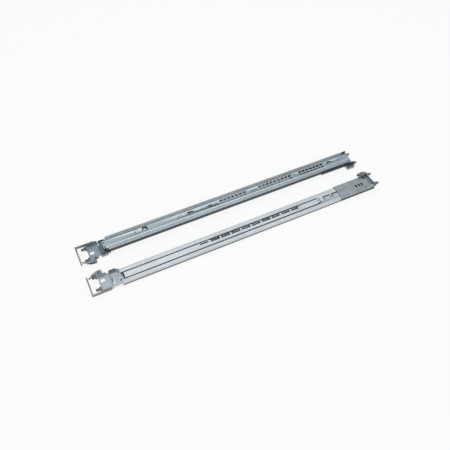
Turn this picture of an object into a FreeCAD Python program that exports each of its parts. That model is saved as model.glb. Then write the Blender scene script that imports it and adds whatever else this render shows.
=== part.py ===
import FreeCAD
import Part
import itertools
import math
import os
from FreeCAD import Vector

# Sliding server rail pair, millimetres, closed and lying flat.
# Each rail is drawn once in its own frame: x runs from the front end (0) to the rear peg tips,
# y across the rail's height with y = 0 on the centre line between the pegs, and z from the
# brackets' outermost edge (0) to the face towards the server (RAIL_DEPTH).
# The left rail lies server face up. The right rail is the same part turned over about its length.

# Pair and rail envelope
RAIL_LENGTH = 707.0
RAIL_DEPTH = 20.0
PAIR_SPACING = 88.4
MEMBER_HEIGHT = 37.0
WEB_STANDOFF = 8.0
PEG_SPACING = 31.75

# Sheet thicknesses
OUTER_SHEET = 1.4
MIDDLE_SHEET = 1.2
INNER_SHEET = 1.4
BRACKET_SHEET = 1.4
BAR_SHEET = 1.0
RETAINER_SHEET = 0.4
LEVER_SHEET = 1.2
SPRING_SHEET = 0.5

# Flats on small round pieces and holes: balls, rivets and their holes
SMALL_ROUND_SIDES = 6
GOLDEN_RATIO = (1 + math.sqrt(5)) / 2

# Corner radii of the rolled members, on the outside of the bend
OUTER_CORNER = 5.0
MIDDLE_CORNER = 2.0
INNER_CORNER = 3.0
LIP_REACH = 5.5
BRACKET_CORNER = 2.0

# Ball races and running clearances
OUTER_BALL_RADIUS = 1.5
INNER_BALL_RADIUS = 1.35
OUTER_RACE_GAP = 2.75
INNER_RACE_GAP = 2.5
BALL_CLEARANCE = 0.05
POCKET_CLEARANCE = 0.1
OUTER_BALL_LEVEL = 15.0
INNER_BALL_LEVEL = 15.6
BALLS_PER_ROW = 3
SLIDE_CLEARANCE = 0.2
RETAINER_CLEARANCE = 0.15
SIDE_CLEARANCE = 0.3
INNER_RECESS = 0.8
MIDDLE_RECESS = 1.8

# Stations along the rail
GUARD_THICKNESS = 3.2
POST_GAP = 19.3
FRONT_WEB_LENGTH = 23.5
JOGGLE_RUN = 4.0
OUTER_SETBACK = 27.5
LIP_SETBACK = 17.0
INNER_SETBACK = 34.5
MIDDLE_SETBACK = 39.5
FRONT_BRACKET_LENGTH = 47.0
REAR_BRACKET_LENGTH = 92.0
OUTER_REAR_GAP = 14.0
INNER_REAR_GAP = 7.0
BAR_LENGTH = 618.6
RETAINER_START = 250.0
RETAINER_LENGTH = 270.0
RETAINER_BRIDGE = 22.5
RETAINER_EDGE = 3.8
RETAINER_RIM = 1.0

# Outer member features, stations from its front end
WINDOW_START = 22.0
WINDOW_LENGTH = 481.0
WINDOW_WIDTH = 15.8
WINDOW_REAR_CORNER = 4.0
FRONT_WALL_HEIGHT = 3.6
TONGUE_START = 513.6
TONGUE_LENGTH = 20.0
TONGUE_WIDTH = 8.0
TONGUE_CUT = 2.0
TONGUE_PITCH = 23.4

# Sight slots, perforations and holes of the inner member, stations from its front end
THUMB_HOLE_START = 92.0
THUMB_HOLE_LENGTH = 11.4
THUMB_HOLE_LOW = -4.5
THUMB_HOLE_WIDTH = 10.8
CURVED_SLOT_START = 197.6
CURVED_SLOT_LENGTH = 20.0
SHORT_SLOT_START = 251.0
SHORT_SLOT_LENGTH = 11.5
DASH_START = 359.0
DASH_LENGTH = 18.0
ARCH_START = 569.0
ARCH_LENGTH = 18.0
ARCH_WIDTH = 3.2
ARCH_RISE = 5.4
VENT_PITCH = 10.0
VENT_LENGTH = 7.0
VENT_WIDTH = 3.4
VENT_ROW_GAP = 5.6
VENT_CENTRE = 1.0
FIRST_VENTS_START = 281.0
FIRST_VENTS = 7
SECOND_VENTS_START = 383.0
SECOND_VENTS = 9
THIRD_VENTS_START = 492.0
THIRD_VENTS = 7
DOT_RADIUS = 1.5
DOT_STATIONS = (177.0, 183.0, 235.0, 270.6, 481.0, 605.0)

FRONT_SLOT_SETBACK = 1.0
FRONT_SLOT_LENGTH = 4.5
FRONT_SLOT_WIDTH = 2.4
FRONT_SLOT_PLACES = (3.6, -8.6)

# Thumb latch of the inner member
LATCH_PIN_SETBACK = 109.0
LATCH_PIN_RADIUS = 1.0
LATCH_PIN_LEVEL = 16.2
LATCH_EAR_SPACING = 9.6
LATCH_EAR_DROP = 2.8
LATCH_EAR_LENGTH = 5.0
LATCH_HALF = 3.4
LATCH_TONGUE_SHEET = 1.2
PAD_RISE = 1.2
LATCH_RIVET_PLACES = ((75.2, 1.2), (82.2, -5.2))
LATCH_SPRING_EDGE = 2.2
PIVOT_CLEARANCE = 0.05

# Extension bar features, stations from its front end
BAR_WIDTH = 12.6
BAR_CENTRE = -1.1
INDEX_PITCH = 25.4
INDEX_START = 199.6
INDEX_SLOTS = 9
INDEX_LENGTH = 22.0
INDEX_WIDTH = 7.0
INDEX_CENTRE = -2.9
RECESS_START = 481.0
RECESS_LENGTH = 52.0
RECESS_WIDTH = 9.6
BAR_DOT_STATION = 473.0
GLIDE_START = 173.6
GLIDE_LENGTH = 21.0
GLIDE_WIDTH = 3.0
GLIDE_PROUD = 0.4
GLIDE_RIVET = 0.8
BAR_DROP_RUN = 2.5
BAR_FOOT_LENGTH = 8.0
FOOT_RIVET_SPACING = 7.2

# Front bracket features
FRONT_FLANGE_HALF = 19.0
SIGHT_HOLE_SETBACK = 3.5
SIGHT_HOLE_LENGTH = 9.0
SIGHT_HOLE_WIDTH = 8.0
SIGHT_HOLE_CENTRE = -5.0
BOSS_SETBACK = 7.0
BOSS_CENTRE = 5.5
BOSS_RADIUS = 4.5
BOSS_HEIGHT = 0.9
BOSS_BORE = 1.6
SIDE_WALL_TOP = 16.0
SIDE_WALL_SETBACK = 3.5
SIDE_WALL_LENGTH = 22.0
EDGE_CLIP = 1.6
SKIRT_DROP = 6.0
SKIRT_LENGTH = 17.5
SPRING_ANCHOR = 4.0
SPRING_RUN = 3.5
REAR_SPRING_RUN = 5.0
RELEASE_SLOT_START = 26.0
RELEASE_SLOT_LENGTH = 18.0
RELEASE_SLOT_WIDTH = 3.4
RELEASE_SLOT_CENTRE = 1.0
RELEASE_ARM_START = 8.5
RELEASE_ARM_WIDTH = 2.2
RELEASE_ARM_OFFSET = 5.0
RELEASE_LEG_WIDTH = 5.0
RELEASE_LEG_LENGTH = 13.0

# Guard in front of the rack post
GUARD_LOW_END = -22.0
GUARD_HEIGHT = 9.5
GUARD_ARM_TOP = 17.0
GUARD_ARM_LENGTH = 42.0
GUARD_ARM_WIDTH = 5.0
GUARD_END_RADIUS = 4.0
GUARD_SCREW_RADIUS = 1.8

# Rack pegs
FRONT_PEG_RADIUS = 3.1
REAR_PEG_RADIUS = 2.9
PEG_LEVEL = 4.2
PEG_LENGTH = 11.5
PEG_TAPER = 1.6
PEG_SHOULDER = 4.0
PEG_SHOULDER_WIDTH = 8.0
PEG_SHOULDER_HEIGHT = 6.4

# Front latch lever and its pivot
LATCH_LOW = 1.0
LATCH_HIGH = 7.8
LEVER_GAP = 1.2
LEVER_PIN_SETBACK = 5.5
LEVER_LINE = 20.2
LEVER_PIN_INSET = 3.6
LEVER_PIN_RADIUS = 1.5
LEVER_PIN_HEAD = 2.4
LEVER_EAR_REACH = 27.0
LEVER_EAR_LENGTH = 8.0
EAR_CLIP = 2.5
LEVER_SEAT = 0.2
FINGER_BEND = 4.2

# Release slide
TAB_START = 24.5
TAB_LENGTH = 16.0
TAB_DROP = 6.0
TAB_CORNER = 2.0
SLIDE_PLATE_SHEET = 1.2
SLIDE_PLATE_WIDTH = 6.0
SLIDE_RIVET_SPACING = 9.5
SLIDE_PLATE_LENGTH = 22.0
SLIDE_TRAVEL = 5.0

# Rear bracket features
REAR_WALL_TOP = 16.0
REAR_FLANGE_HALF = 19.0
LATCH_CUT_SETBACK = 43.5
LATCH_CUT_LENGTH = 20.0
LATCH_CUT_WIDTH = 13.0
CATCH_WIDTH = 4.2
CATCH_ROOT = 3.4
HOOK_HOLE_SETBACK = 14.0
HOOK_HOLE_LENGTH = 6.0
HOOK_HOLE_WIDTH = 7.5
HOOK_HOLE_CENTRE = -13.2
EMBOSS_SETBACK = 63.0
EMBOSS_LENGTH = 15.5
EMBOSS_WIDTH = 7.0
EMBOSS_HEIGHT = 0.6
REAR_LEVER_LENGTH = 23.0
REAR_LEVER_REACH = 27.5
REAR_PIN_SETBACK = 11.0
REAR_NOSE = 3.5
REAR_LEVER_RELIEF = 4.0

# Rivets
RIVET_RADIUS = 1.3
RIVET_HEAD = 2.3
RIVET_HEAD_HEIGHT = 0.6
BRACKET_RIVET_LOW_Y = -9.5
BRACKET_RIVET_HIGH_Y = 11.0

# Closing bumpers
BUMPER_LENGTH = 4.5
BUMPER_WIDTH = 4.0
BUMPER_HEIGHT = 3.4
BUMPER_Y = 11.0
BUMPER_CLEARANCE = 0.3

# Levels across the section, worked out from the outside in
OUTER_HALF = MEMBER_HEIGHT / 2
OUTER_INSIDE = OUTER_HALF - OUTER_SHEET
MIDDLE_HALF = OUTER_INSIDE - OUTER_RACE_GAP
MIDDLE_INSIDE = MIDDLE_HALF - MIDDLE_SHEET
INNER_HALF = MIDDLE_INSIDE - INNER_RACE_GAP
OUTER_FLOOR = WEB_STANDOFF + OUTER_SHEET
BAR_LOW = OUTER_FLOOR + SLIDE_CLEARANCE
BAR_HIGH = BAR_LOW + BAR_SHEET
OUTER_RETAINER_LOW = BAR_HIGH + RETAINER_CLEARANCE
OUTER_RETAINER_HIGH = OUTER_RETAINER_LOW + RETAINER_SHEET
MIDDLE_LOW = OUTER_RETAINER_HIGH + RETAINER_CLEARANCE
MIDDLE_FLOOR = MIDDLE_LOW + MIDDLE_SHEET
INNER_RETAINER_LOW = MIDDLE_FLOOR + RETAINER_CLEARANCE
INNER_RETAINER_HIGH = INNER_RETAINER_LOW + RETAINER_SHEET
INNER_LOW = INNER_RETAINER_HIGH + SIDE_CLEARANCE
INNER_HIGH = RAIL_DEPTH - INNER_RECESS
INNER_CEILING = INNER_HIGH - INNER_SHEET
MIDDLE_HIGH = RAIL_DEPTH - MIDDLE_RECESS

# Stations worked out from the ends
FRONT_FLANGE_X = GUARD_THICKNESS + POST_GAP
OUTER_FRONT = FRONT_FLANGE_X + OUTER_SETBACK
INNER_FRONT = FRONT_FLANGE_X + INNER_SETBACK
MIDDLE_FRONT = FRONT_FLANGE_X + MIDDLE_SETBACK
REAR_FLANGE_X = RAIL_LENGTH - PEG_LENGTH
REAR_INSIDE_X = REAR_FLANGE_X - BRACKET_SHEET
OUTER_REAR = REAR_FLANGE_X - OUTER_REAR_GAP
MIDDLE_REAR = OUTER_REAR - BUMPER_LENGTH - BUMPER_CLEARANCE
INNER_REAR = REAR_FLANGE_X - INNER_REAR_GAP
REAR_BRACKET_X = REAR_FLANGE_X - REAR_BRACKET_LENGTH
REAR_WEB_HIGH = WEB_STANDOFF - SIDE_CLEARANCE
REAR_WEB_LOW = REAR_WEB_HIGH - BRACKET_SHEET
BRACKET_WEB_LOW = WEB_STANDOFF - BRACKET_SHEET
PEG_HALF = PEG_SPACING / 2


def corner_arc(before, corner, after, radius):
    """Start, middle and end of the arc that rounds one corner."""
    to_before = (before - corner).normalize()
    to_after = (after - corner).normalize()
    half_angle = to_before.getAngle(to_after) / 2
    run = radius / math.tan(half_angle)
    bisector = (to_before + to_after).normalize()
    centre = corner + bisector * (radius / math.sin(half_angle))
    return corner + to_before * run, centre - bisector * radius, corner + to_after * run


def closed_wire(corners):
    """Closed wire through (point, radius) corners."""
    count = len(corners)
    stops = []
    for i, (point, radius) in enumerate(corners):
        if radius > 0:
            stops.append(corner_arc(corners[i - 1][0], point, corners[(i + 1) % count][0], radius))
        else:
            stops.append((point, None, point))
    edges = []
    for i, (start, middle, end) in enumerate(stops):
        if middle is not None:
            edges.append(Part.Arc(start, middle, end).toShape())
        following = stops[(i + 1) % count][0]
        if (following - end).Length > 1e-6:
            edges.append(Part.makeLine(end, following))
    return Part.Wire(edges)


def drawn(points, place, sweep):
    """Solid drawn from an outline of (u, v) or (u, v, corner radius) points."""
    corners = [(place(p[0], p[1]), p[2] if len(p) > 2 else 0.0) for p in points]
    return Part.Face(closed_wire(corners)).extrude(sweep)


def plate(points, low, high):
    """Flat sheet with an (x, y) outline, from low to high z."""
    return drawn(points, lambda x, y: Vector(x, y, low), Vector(0, 0, high - low))


def section(points, start, end):
    """Rolled section with a (y, z) outline, from start to end along the rail."""
    return drawn(points, lambda y, z: Vector(start, y, z), Vector(end - start, 0, 0))


def fold(points, low, high):
    """Folded strip with an (x, z) side view, from low to high y."""
    return drawn(points, lambda x, z: Vector(x, low, z), Vector(0, high - low, 0))


def block(x, y, z):
    """Rectangular block from three (low, high) pairs."""
    return Part.makeBox(x[1] - x[0], y[1] - y[0], z[1] - z[0], Vector(x[0], y[0], z[0]))


def clipped(x, y, z, clip):
    """Block whose four upright corners are clipped, for short slots and round-ended pieces."""
    return plate([
        (x[0], y[0] + clip), (x[0] + clip, y[0]), (x[1] - clip, y[0]), (x[1], y[0] + clip),
        (x[1], y[1] - clip), (x[1] - clip, y[1]), (x[0] + clip, y[1]), (x[0], y[1] - clip),
    ], z[0], z[1])


def rod(centre, direction, radius, length):
    """Round bar from a centre point along a direction."""
    return Part.makeCylinder(radius, length, centre, direction)


def ring(centre, direction, radius):
    """Many-sided ring of a small round piece, square to a direction along one of the axes."""
    across = Vector(direction.y, direction.z, direction.x)
    aside = direction.cross(across)
    points = []
    for i in range(SMALL_ROUND_SIDES + 1):
        angle = 2 * math.pi * (i + 0.5) / SMALL_ROUND_SIDES
        points.append(centre + across * (radius * math.cos(angle)) + aside * (radius * math.sin(angle)))
    points[-1] = points[0]
    return Part.makePolygon(points)


def stud(centre, direction, radius, length):
    """Small many-sided bar, for rivets, their heads and their holes."""
    return Part.Face(ring(centre, direction, radius)).extrude(direction * length)


def faceted(centre, direction, radius, tip_radius, length):
    """Many-sided taper from one radius to a smaller one, for the tips of pegs."""
    foot = ring(centre, direction, radius)
    tip = ring(centre + direction * length, direction, tip_radius)
    faces = [Part.Face(foot), Part.Face(tip)]
    low = [v.Point for v in foot.OrderedVertexes]
    high = [v.Point for v in tip.OrderedVertexes]
    for i in range(len(low)):
        side = [low[i - 1], low[i], high[i], high[i - 1], low[i - 1]]
        faces.append(Part.Face(Part.makePolygon(side)))
    return Part.Solid(Part.Shell(faces))


def ball(centre, radius):
    """Bearing ball with twenty flats, its corners on the ball's true surface."""
    short = radius / math.hypot(1, GOLDEN_RATIO)
    long = short * GOLDEN_RATIO
    corners = []
    for a in (-short, short):
        for b in (-long, long):
            corners += [Vector(0, a, b), Vector(a, b, 0), Vector(b, 0, a)]
    flats = []
    for trio in itertools.combinations(corners, 3):
        sides = [(trio[i] - trio[i - 1]).Length for i in range(3)]
        if max(sides) < 2.1 * short:
            flats.append(Part.Face(Part.makePolygon([centre + p for p in (*trio, trio[0])])))
    return Part.Solid(Part.Shell(flats))


def channel(half, low, high, sheet, corner):
    """Outline of a plain channel, web at the low side, walls up to high."""
    inside = half - sheet
    floor = low + sheet
    bend = max(corner - sheet, 0.0)
    return [
        (-half, high), (-half, low, corner), (half, low, corner), (half, high),
        (inside, high), (inside, floor, bend), (-inside, floor, bend), (-inside, high),
    ]


def outer_ball_y():
    """Distance of the outer ball rows from the centre line."""
    return OUTER_INSIDE - OUTER_RACE_GAP / 2


def inner_ball_y():
    """Distance of the inner ball rows from the centre line."""
    return MIDDLE_INSIDE - INNER_RACE_GAP / 2


def race_cutters(offset, level, radius, start, end):
    """Pair of round-bottomed groove cutters along the rail."""
    along = Vector(1, 0, 0)
    groove = radius + BALL_CLEARANCE
    upper = rod(Vector(start, offset, level), along, groove, end - start)
    lower = rod(Vector(start, -offset, level), along, groove, end - start)
    return [upper, lower]


def tongue_cut(start, low, high):
    """Three-sided cut that frees a springy tongue in a web."""
    half = TONGUE_WIDTH / 2
    around = block((start, start + TONGUE_LENGTH), (-half, half), (low, high))
    tongue = block(
        (start + TONGUE_CUT, start + TONGUE_LENGTH - TONGUE_CUT),
        (-half + TONGUE_CUT, half),
        (low, high),
    )
    return around.cut(tongue)


def outer_member():
    """Outermost rolled channel with rounded lips, long window and two spring tongues."""
    bend = OUTER_CORNER - OUTER_SHEET
    lip = OUTER_HALF - LIP_REACH
    ceiling = RAIL_DEPTH - OUTER_SHEET
    body = section([
        (-lip, RAIL_DEPTH), (-OUTER_HALF, RAIL_DEPTH, OUTER_CORNER),
        (-OUTER_HALF, WEB_STANDOFF, OUTER_CORNER), (OUTER_HALF, WEB_STANDOFF, OUTER_CORNER),
        (OUTER_HALF, RAIL_DEPTH, OUTER_CORNER), (lip, RAIL_DEPTH), (lip, ceiling),
        (OUTER_INSIDE, ceiling, bend), (OUTER_INSIDE, OUTER_FLOOR, bend),
        (-OUTER_INSIDE, OUTER_FLOOR, bend), (-OUTER_INSIDE, ceiling, bend), (-lip, ceiling),
    ], OUTER_FRONT, OUTER_REAR)
    web = (WEB_STANDOFF - 1, OUTER_FLOOR + 1)
    half = WINDOW_WIDTH / 2
    start = OUTER_FRONT + WINDOW_START
    end = start + WINDOW_LENGTH
    cuts = [
        plate([
            (start, -half), (end, -half, WINDOW_REAR_CORNER),
            (end, half, WINDOW_REAR_CORNER), (start, half),
        ], *web),
        block(
            (OUTER_FRONT - 1, FRONT_FLANGE_X + OUTER_SETBACK + LIP_SETBACK),
            (-OUTER_HALF - 1, OUTER_HALF + 1),
            (OUTER_FLOOR + FRONT_WALL_HEIGHT, RAIL_DEPTH + 1),
        ),
    ]
    cuts += race_cutters(outer_ball_y(), OUTER_BALL_LEVEL, OUTER_BALL_RADIUS, OUTER_FRONT, OUTER_REAR)
    for i in range(2):
        cuts.append(tongue_cut(OUTER_FRONT + TONGUE_START + i * TONGUE_PITCH, *web))
    cuts += [shank(x, y, web[0], web[1]) for x, y in bracket_rivet_places() + bumper_places()]
    return body.cut(cuts)


def middle_member():
    """Intermediate channel that carries both ball sets."""
    outline = channel(MIDDLE_HALF, MIDDLE_LOW, MIDDLE_HIGH, MIDDLE_SHEET, MIDDLE_CORNER)
    body = section(outline, MIDDLE_FRONT, MIDDLE_REAR)
    cuts = race_cutters(outer_ball_y(), OUTER_BALL_LEVEL, OUTER_BALL_RADIUS, MIDDLE_FRONT, MIDDLE_REAR)
    cuts += race_cutters(inner_ball_y(), INNER_BALL_LEVEL, INNER_BALL_RADIUS, MIDDLE_FRONT, MIDDLE_REAR)
    cuts.append(block(
        (bar_front() + INDEX_START, bar_front() + RECESS_START + RECESS_LENGTH),
        (INDEX_CENTRE - INDEX_WIDTH / 2, BAR_CENTRE + RECESS_WIDTH / 2),
        (MIDDLE_LOW - 1, MIDDLE_FLOOR + 1),
    ))
    return body.cut(cuts)


def vent_rows(first, count, low, high):
    """Double row of rectangular perforations."""
    vents = []
    for i in range(count):
        start = INNER_FRONT + first + i * VENT_PITCH
        for row in (-1, 1):
            middle = VENT_CENTRE + row * VENT_ROW_GAP / 2
            across = (middle - VENT_WIDTH / 2, middle + VENT_WIDTH / 2)
            vents.append(block((start, start + VENT_LENGTH), across, (low, high)))
    return vents


def arch_cut(start, length, middle, low, high):
    """Arch-shaped slot, bowed across the web."""
    end = start + length
    top = middle + ARCH_RISE
    quarter = length / 4
    return plate([
        (start, middle), (start + ARCH_WIDTH, middle), (start + quarter + 1, top - ARCH_WIDTH),
        (end - quarter - 1, top - ARCH_WIDTH), (end - ARCH_WIDTH, middle), (end, middle),
        (end - quarter, top), (start + quarter, top),
    ], low, high)


def inner_web_cuts():
    """Every opening in the inner member's web."""
    low = INNER_CEILING - 1
    high = INNER_HIGH + 1
    web = (low, high)
    thumb = INNER_FRONT + THUMB_HOLE_START
    short = INNER_FRONT + SHORT_SLOT_START
    dash = INNER_FRONT + DASH_START
    cuts = [
        block(
            (thumb, thumb + THUMB_HOLE_LENGTH),
            (THUMB_HOLE_LOW, THUMB_HOLE_LOW + THUMB_HOLE_WIDTH),
            web,
        ),
        arch_cut(INNER_FRONT + CURVED_SLOT_START, CURVED_SLOT_LENGTH, VENT_CENTRE - 2.0, low, high),
        clipped((short, short + SHORT_SLOT_LENGTH), (VENT_CENTRE - 1.6, VENT_CENTRE + 1.6), web, 1.0),
        clipped((dash, dash + DASH_LENGTH), (VENT_CENTRE - 1.3, VENT_CENTRE + 1.3), web, 0.8),
        arch_cut(INNER_FRONT + ARCH_START, ARCH_LENGTH, VENT_CENTRE - 2.0, low, high),
    ]
    for first, count in (
        (FIRST_VENTS_START, FIRST_VENTS),
        (SECOND_VENTS_START, SECOND_VENTS),
        (THIRD_VENTS_START, THIRD_VENTS),
    ):
        cuts += vent_rows(first, count, low, high)
    for station in DOT_STATIONS:
        cuts.append(stud(Vector(INNER_FRONT + station, VENT_CENTRE, low), Vector(0, 0, 1), DOT_RADIUS, high - low))
    slot = INNER_FRONT + FRONT_SLOT_SETBACK
    half = FRONT_SLOT_WIDTH / 2
    for y in FRONT_SLOT_PLACES:
        cuts.append(block((slot, slot + FRONT_SLOT_LENGTH), (y - half, y + half), web))
    return cuts


def latch_ears():
    """Two lanced ears under the inner web that hold the thumb latch's pin."""
    middle = INNER_FRONT + LATCH_PIN_SETBACK
    half = LATCH_EAR_LENGTH / 2
    along = (middle - half, middle + half)
    up = (INNER_CEILING - LATCH_EAR_DROP, INNER_CEILING)
    inside = LATCH_EAR_SPACING / 2 - INNER_SHEET
    near = block(along, (inside, inside + INNER_SHEET), up)
    far = block(along, (-inside - INNER_SHEET, -inside), up)
    return near.fuse(far)


def inner_member():
    """Innermost channel, web towards the server, perforated as the real one is."""
    upright = channel(INNER_HALF, INNER_LOW, INNER_HIGH, INNER_SHEET, INNER_CORNER)
    outline = [(p[0], INNER_LOW + INNER_HIGH - p[1], *p[2:]) for p in upright]
    body = section(outline, INNER_FRONT, INNER_REAR)
    body = body.fuse(latch_ears())
    cuts = inner_web_cuts()
    cuts += race_cutters(inner_ball_y(), INNER_BALL_LEVEL, INNER_BALL_RADIUS, INNER_FRONT, INNER_REAR)
    cuts.append(thumb_pin())
    cuts += [shank(x, y, INNER_CEILING - 1, INNER_HIGH + 1) for x, y in latch_rivet_places()]
    return body.cut(cuts)


def retainer(opening, low, wall_y, ball_level, radius):
    """Ball retainer: thin channel with one pocket per ball in each wall and a long opening in its web."""
    side = wall_y + RETAINER_SHEET / 2
    outline = channel(side, low, ball_level + radius + RETAINER_RIM, RETAINER_SHEET, 0.0)
    end = RETAINER_START + RETAINER_LENGTH
    body = section(outline, RETAINER_START, end)
    cuts = [block(
        (RETAINER_START + RETAINER_BRIDGE, end - RETAINER_BRIDGE), (-opening, opening), (low - 1, low + 1))]
    pocket = radius + POCKET_CLEARANCE
    for station in ball_stations():
        cuts.append(block(
            (station - pocket, station + pocket), (-side - 1, side + 1),
            (ball_level - pocket, ball_level + pocket)))
    return body.cut(cuts)


def ball_stations():
    """Even stations of the balls along a retainer."""
    pitch = RETAINER_LENGTH / BALLS_PER_ROW
    return [RETAINER_START + pitch * (i + 0.5) for i in range(BALLS_PER_ROW)]


def ball_rows(offset, level, radius):
    """Both rows of balls of one retainer."""
    balls = []
    for station in ball_stations():
        for side in (-1, 1):
            balls.append(ball(Vector(station, side * offset, level), radius))
    return Part.makeCompound(balls)


def outer_retainer():
    """Retainer between the outer and intermediate members."""
    opening = MIDDLE_HALF - RETAINER_EDGE
    return retainer(opening, OUTER_RETAINER_LOW, outer_ball_y(), OUTER_BALL_LEVEL, OUTER_BALL_RADIUS)


def inner_retainer():
    """Retainer between the intermediate and inner members."""
    opening = INNER_HALF - RETAINER_EDGE
    return retainer(opening, INNER_RETAINER_LOW, inner_ball_y(), INNER_BALL_LEVEL, INNER_BALL_RADIUS)


def shank(x, y, low, high):
    """Rivet hole through a flat sheet."""
    return stud(Vector(x, y, low), Vector(0, 0, 1), RIVET_RADIUS, high - low)


def rivet(x, y, low, high, foot):
    """Headed rivet standing along z; foot is the thickness of its lower head."""
    up = Vector(0, 0, 1)
    body = stud(Vector(x, y, low - foot), up, RIVET_RADIUS, high - low + foot)
    head = stud(Vector(x, y, high), up, RIVET_HEAD, RIVET_HEAD_HEIGHT)
    if foot == 0:
        return body.fuse(head)
    lower = stud(Vector(x, y, low - foot), up, RIVET_HEAD, foot)
    return body.fuse([head, lower])


def bracket_rivet_places():
    """Rivets that hold the front bracket under the outer member."""
    x = FRONT_FLANGE_X + FRONT_BRACKET_LENGTH - 4.0
    return [(x, BRACKET_RIVET_LOW_Y), (x, BRACKET_RIVET_HIGH_Y)]


def bumper_places():
    """Rivets of the closing bumpers at the rear of the outer member."""
    x = OUTER_REAR - BUMPER_LENGTH / 2
    return [(x, -BUMPER_Y), (x, BUMPER_Y)]


def fixed_rivets():
    """Rivets of the front bracket and of the bumpers."""
    rivets = []
    for x, y in bracket_rivet_places():
        rivets.append(rivet(x, y, BRACKET_WEB_LOW, OUTER_FLOOR, RIVET_HEAD_HEIGHT))
    for x, y in bumper_places():
        rivets.append(shank(x, y, WEB_STANDOFF, OUTER_FLOOR + BUMPER_HEIGHT))
    return Part.makeCompound(rivets)


def bumpers():
    """Two plastic blocks that stop the intermediate member when it closes."""
    blocks = []
    for x, y in bumper_places():
        body = block(
            (x - BUMPER_LENGTH / 2, x + BUMPER_LENGTH / 2), (y - BUMPER_WIDTH / 2, y + BUMPER_WIDTH / 2),
            (OUTER_FLOOR, OUTER_FLOOR + BUMPER_HEIGHT))
        blocks.append(body.cut(shank(x, y, OUTER_FLOOR - 1, OUTER_FLOOR + BUMPER_HEIGHT + 1)))
    return Part.makeCompound(blocks)


def joggled_strip():
    """Side view of the front bracket: flange, web, and the step under the outer member."""
    sheet = BRACKET_SHEET
    bend = BRACKET_CORNER - sheet
    step = FRONT_FLANGE_X + FRONT_WEB_LENGTH
    end = FRONT_FLANGE_X + FRONT_BRACKET_LENGTH
    return [
        (FRONT_FLANGE_X, 0), (FRONT_FLANGE_X, OUTER_FLOOR, BRACKET_CORNER),
        (step, OUTER_FLOOR, sheet), (step + JOGGLE_RUN, WEB_STANDOFF), (end, WEB_STANDOFF),
        (end, BRACKET_WEB_LOW), (step + JOGGLE_RUN - sheet / 2, BRACKET_WEB_LOW, sheet),
        (step - sheet / 2, WEB_STANDOFF), (FRONT_FLANGE_X + sheet, WEB_STANDOFF, bend),
        (FRONT_FLANGE_X + sheet, 0),
    ]


def front_bracket_plan():
    """Plan outline of the front bracket: wide flange, narrower web, ear for the latch pivot."""
    flange_end = FRONT_FLANGE_X + BRACKET_SHEET
    end = FRONT_FLANGE_X + FRONT_BRACKET_LENGTH
    ear_end = flange_end + LEVER_EAR_LENGTH
    return [
        (FRONT_FLANGE_X - 1, -LEVER_EAR_REACH), (ear_end - EAR_CLIP, -LEVER_EAR_REACH),
        (ear_end, -LEVER_EAR_REACH + EAR_CLIP), (ear_end, -OUTER_HALF),
        (end, -OUTER_HALF, 6.0), (end, OUTER_HALF, 6.0),
        (FRONT_FLANGE_X - 1, OUTER_HALF),
    ]


def release_cut(low, high):
    """F-shaped opening behind the joggle that shows the release slide."""
    x = FRONT_FLANGE_X + RELEASE_SLOT_START
    y = RELEASE_SLOT_CENTRE
    half = RELEASE_SLOT_WIDTH / 2
    through = (low, high)
    end = x + RELEASE_SLOT_LENGTH
    arm = y + RELEASE_ARM_OFFSET
    bar = block((x, end), (y - half, y + half), through)
    leg = block((x, x + RELEASE_LEG_WIDTH), (y - half, y + half + RELEASE_LEG_LENGTH), through)
    link = block((end - RELEASE_ARM_WIDTH, end), (y, arm + RELEASE_ARM_WIDTH / 2), through)
    second = block((x + RELEASE_ARM_START, end), (arm - RELEASE_ARM_WIDTH / 2, arm + RELEASE_ARM_WIDTH / 2), through)
    return bar.fuse([leg, link, second])


def front_side_wall():
    """Upturned wall that the guard arm is riveted to."""
    x = FRONT_FLANGE_X + SIDE_WALL_SETBACK
    end = x + SIDE_WALL_LENGTH
    return fold([
        (x, OUTER_FLOOR), (x, SIDE_WALL_TOP - EDGE_CLIP), (x + EDGE_CLIP, SIDE_WALL_TOP),
        (end - EDGE_CLIP, SIDE_WALL_TOP), (end, SIDE_WALL_TOP - EDGE_CLIP), (end, OUTER_FLOOR),
    ], OUTER_HALF - BRACKET_SHEET, OUTER_HALF)


def skirts(start, end, high):
    """Pair of down-turned walls that stiffen a bracket behind its flange."""
    walls = []
    for low_y in (-OUTER_HALF, OUTER_HALF - BRACKET_SHEET):
        walls.append(fold([
            (start, high), (start, high - SKIRT_DROP), (end - EDGE_CLIP, high - SKIRT_DROP),
            (end, high - SKIRT_DROP + EDGE_CLIP), (end, high),
        ], low_y, low_y + BRACKET_SHEET))
    return walls


def leaf_spring(anchor, tip, line, low, high):
    """Leaf fixed flat on a skirt at its anchor end, its free tip against a lever's line."""
    wall = -OUTER_HALF
    reach = -line + 2 * PIVOT_CLEARANCE
    back = anchor + math.copysign(SPRING_ANCHOR, anchor - tip)
    return plate([
        (back, wall), (anchor, wall), (tip, reach + SPRING_SHEET), (tip, reach),
        (anchor, wall - SPRING_SHEET), (back, wall - SPRING_SHEET),
    ], low, high)


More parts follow.
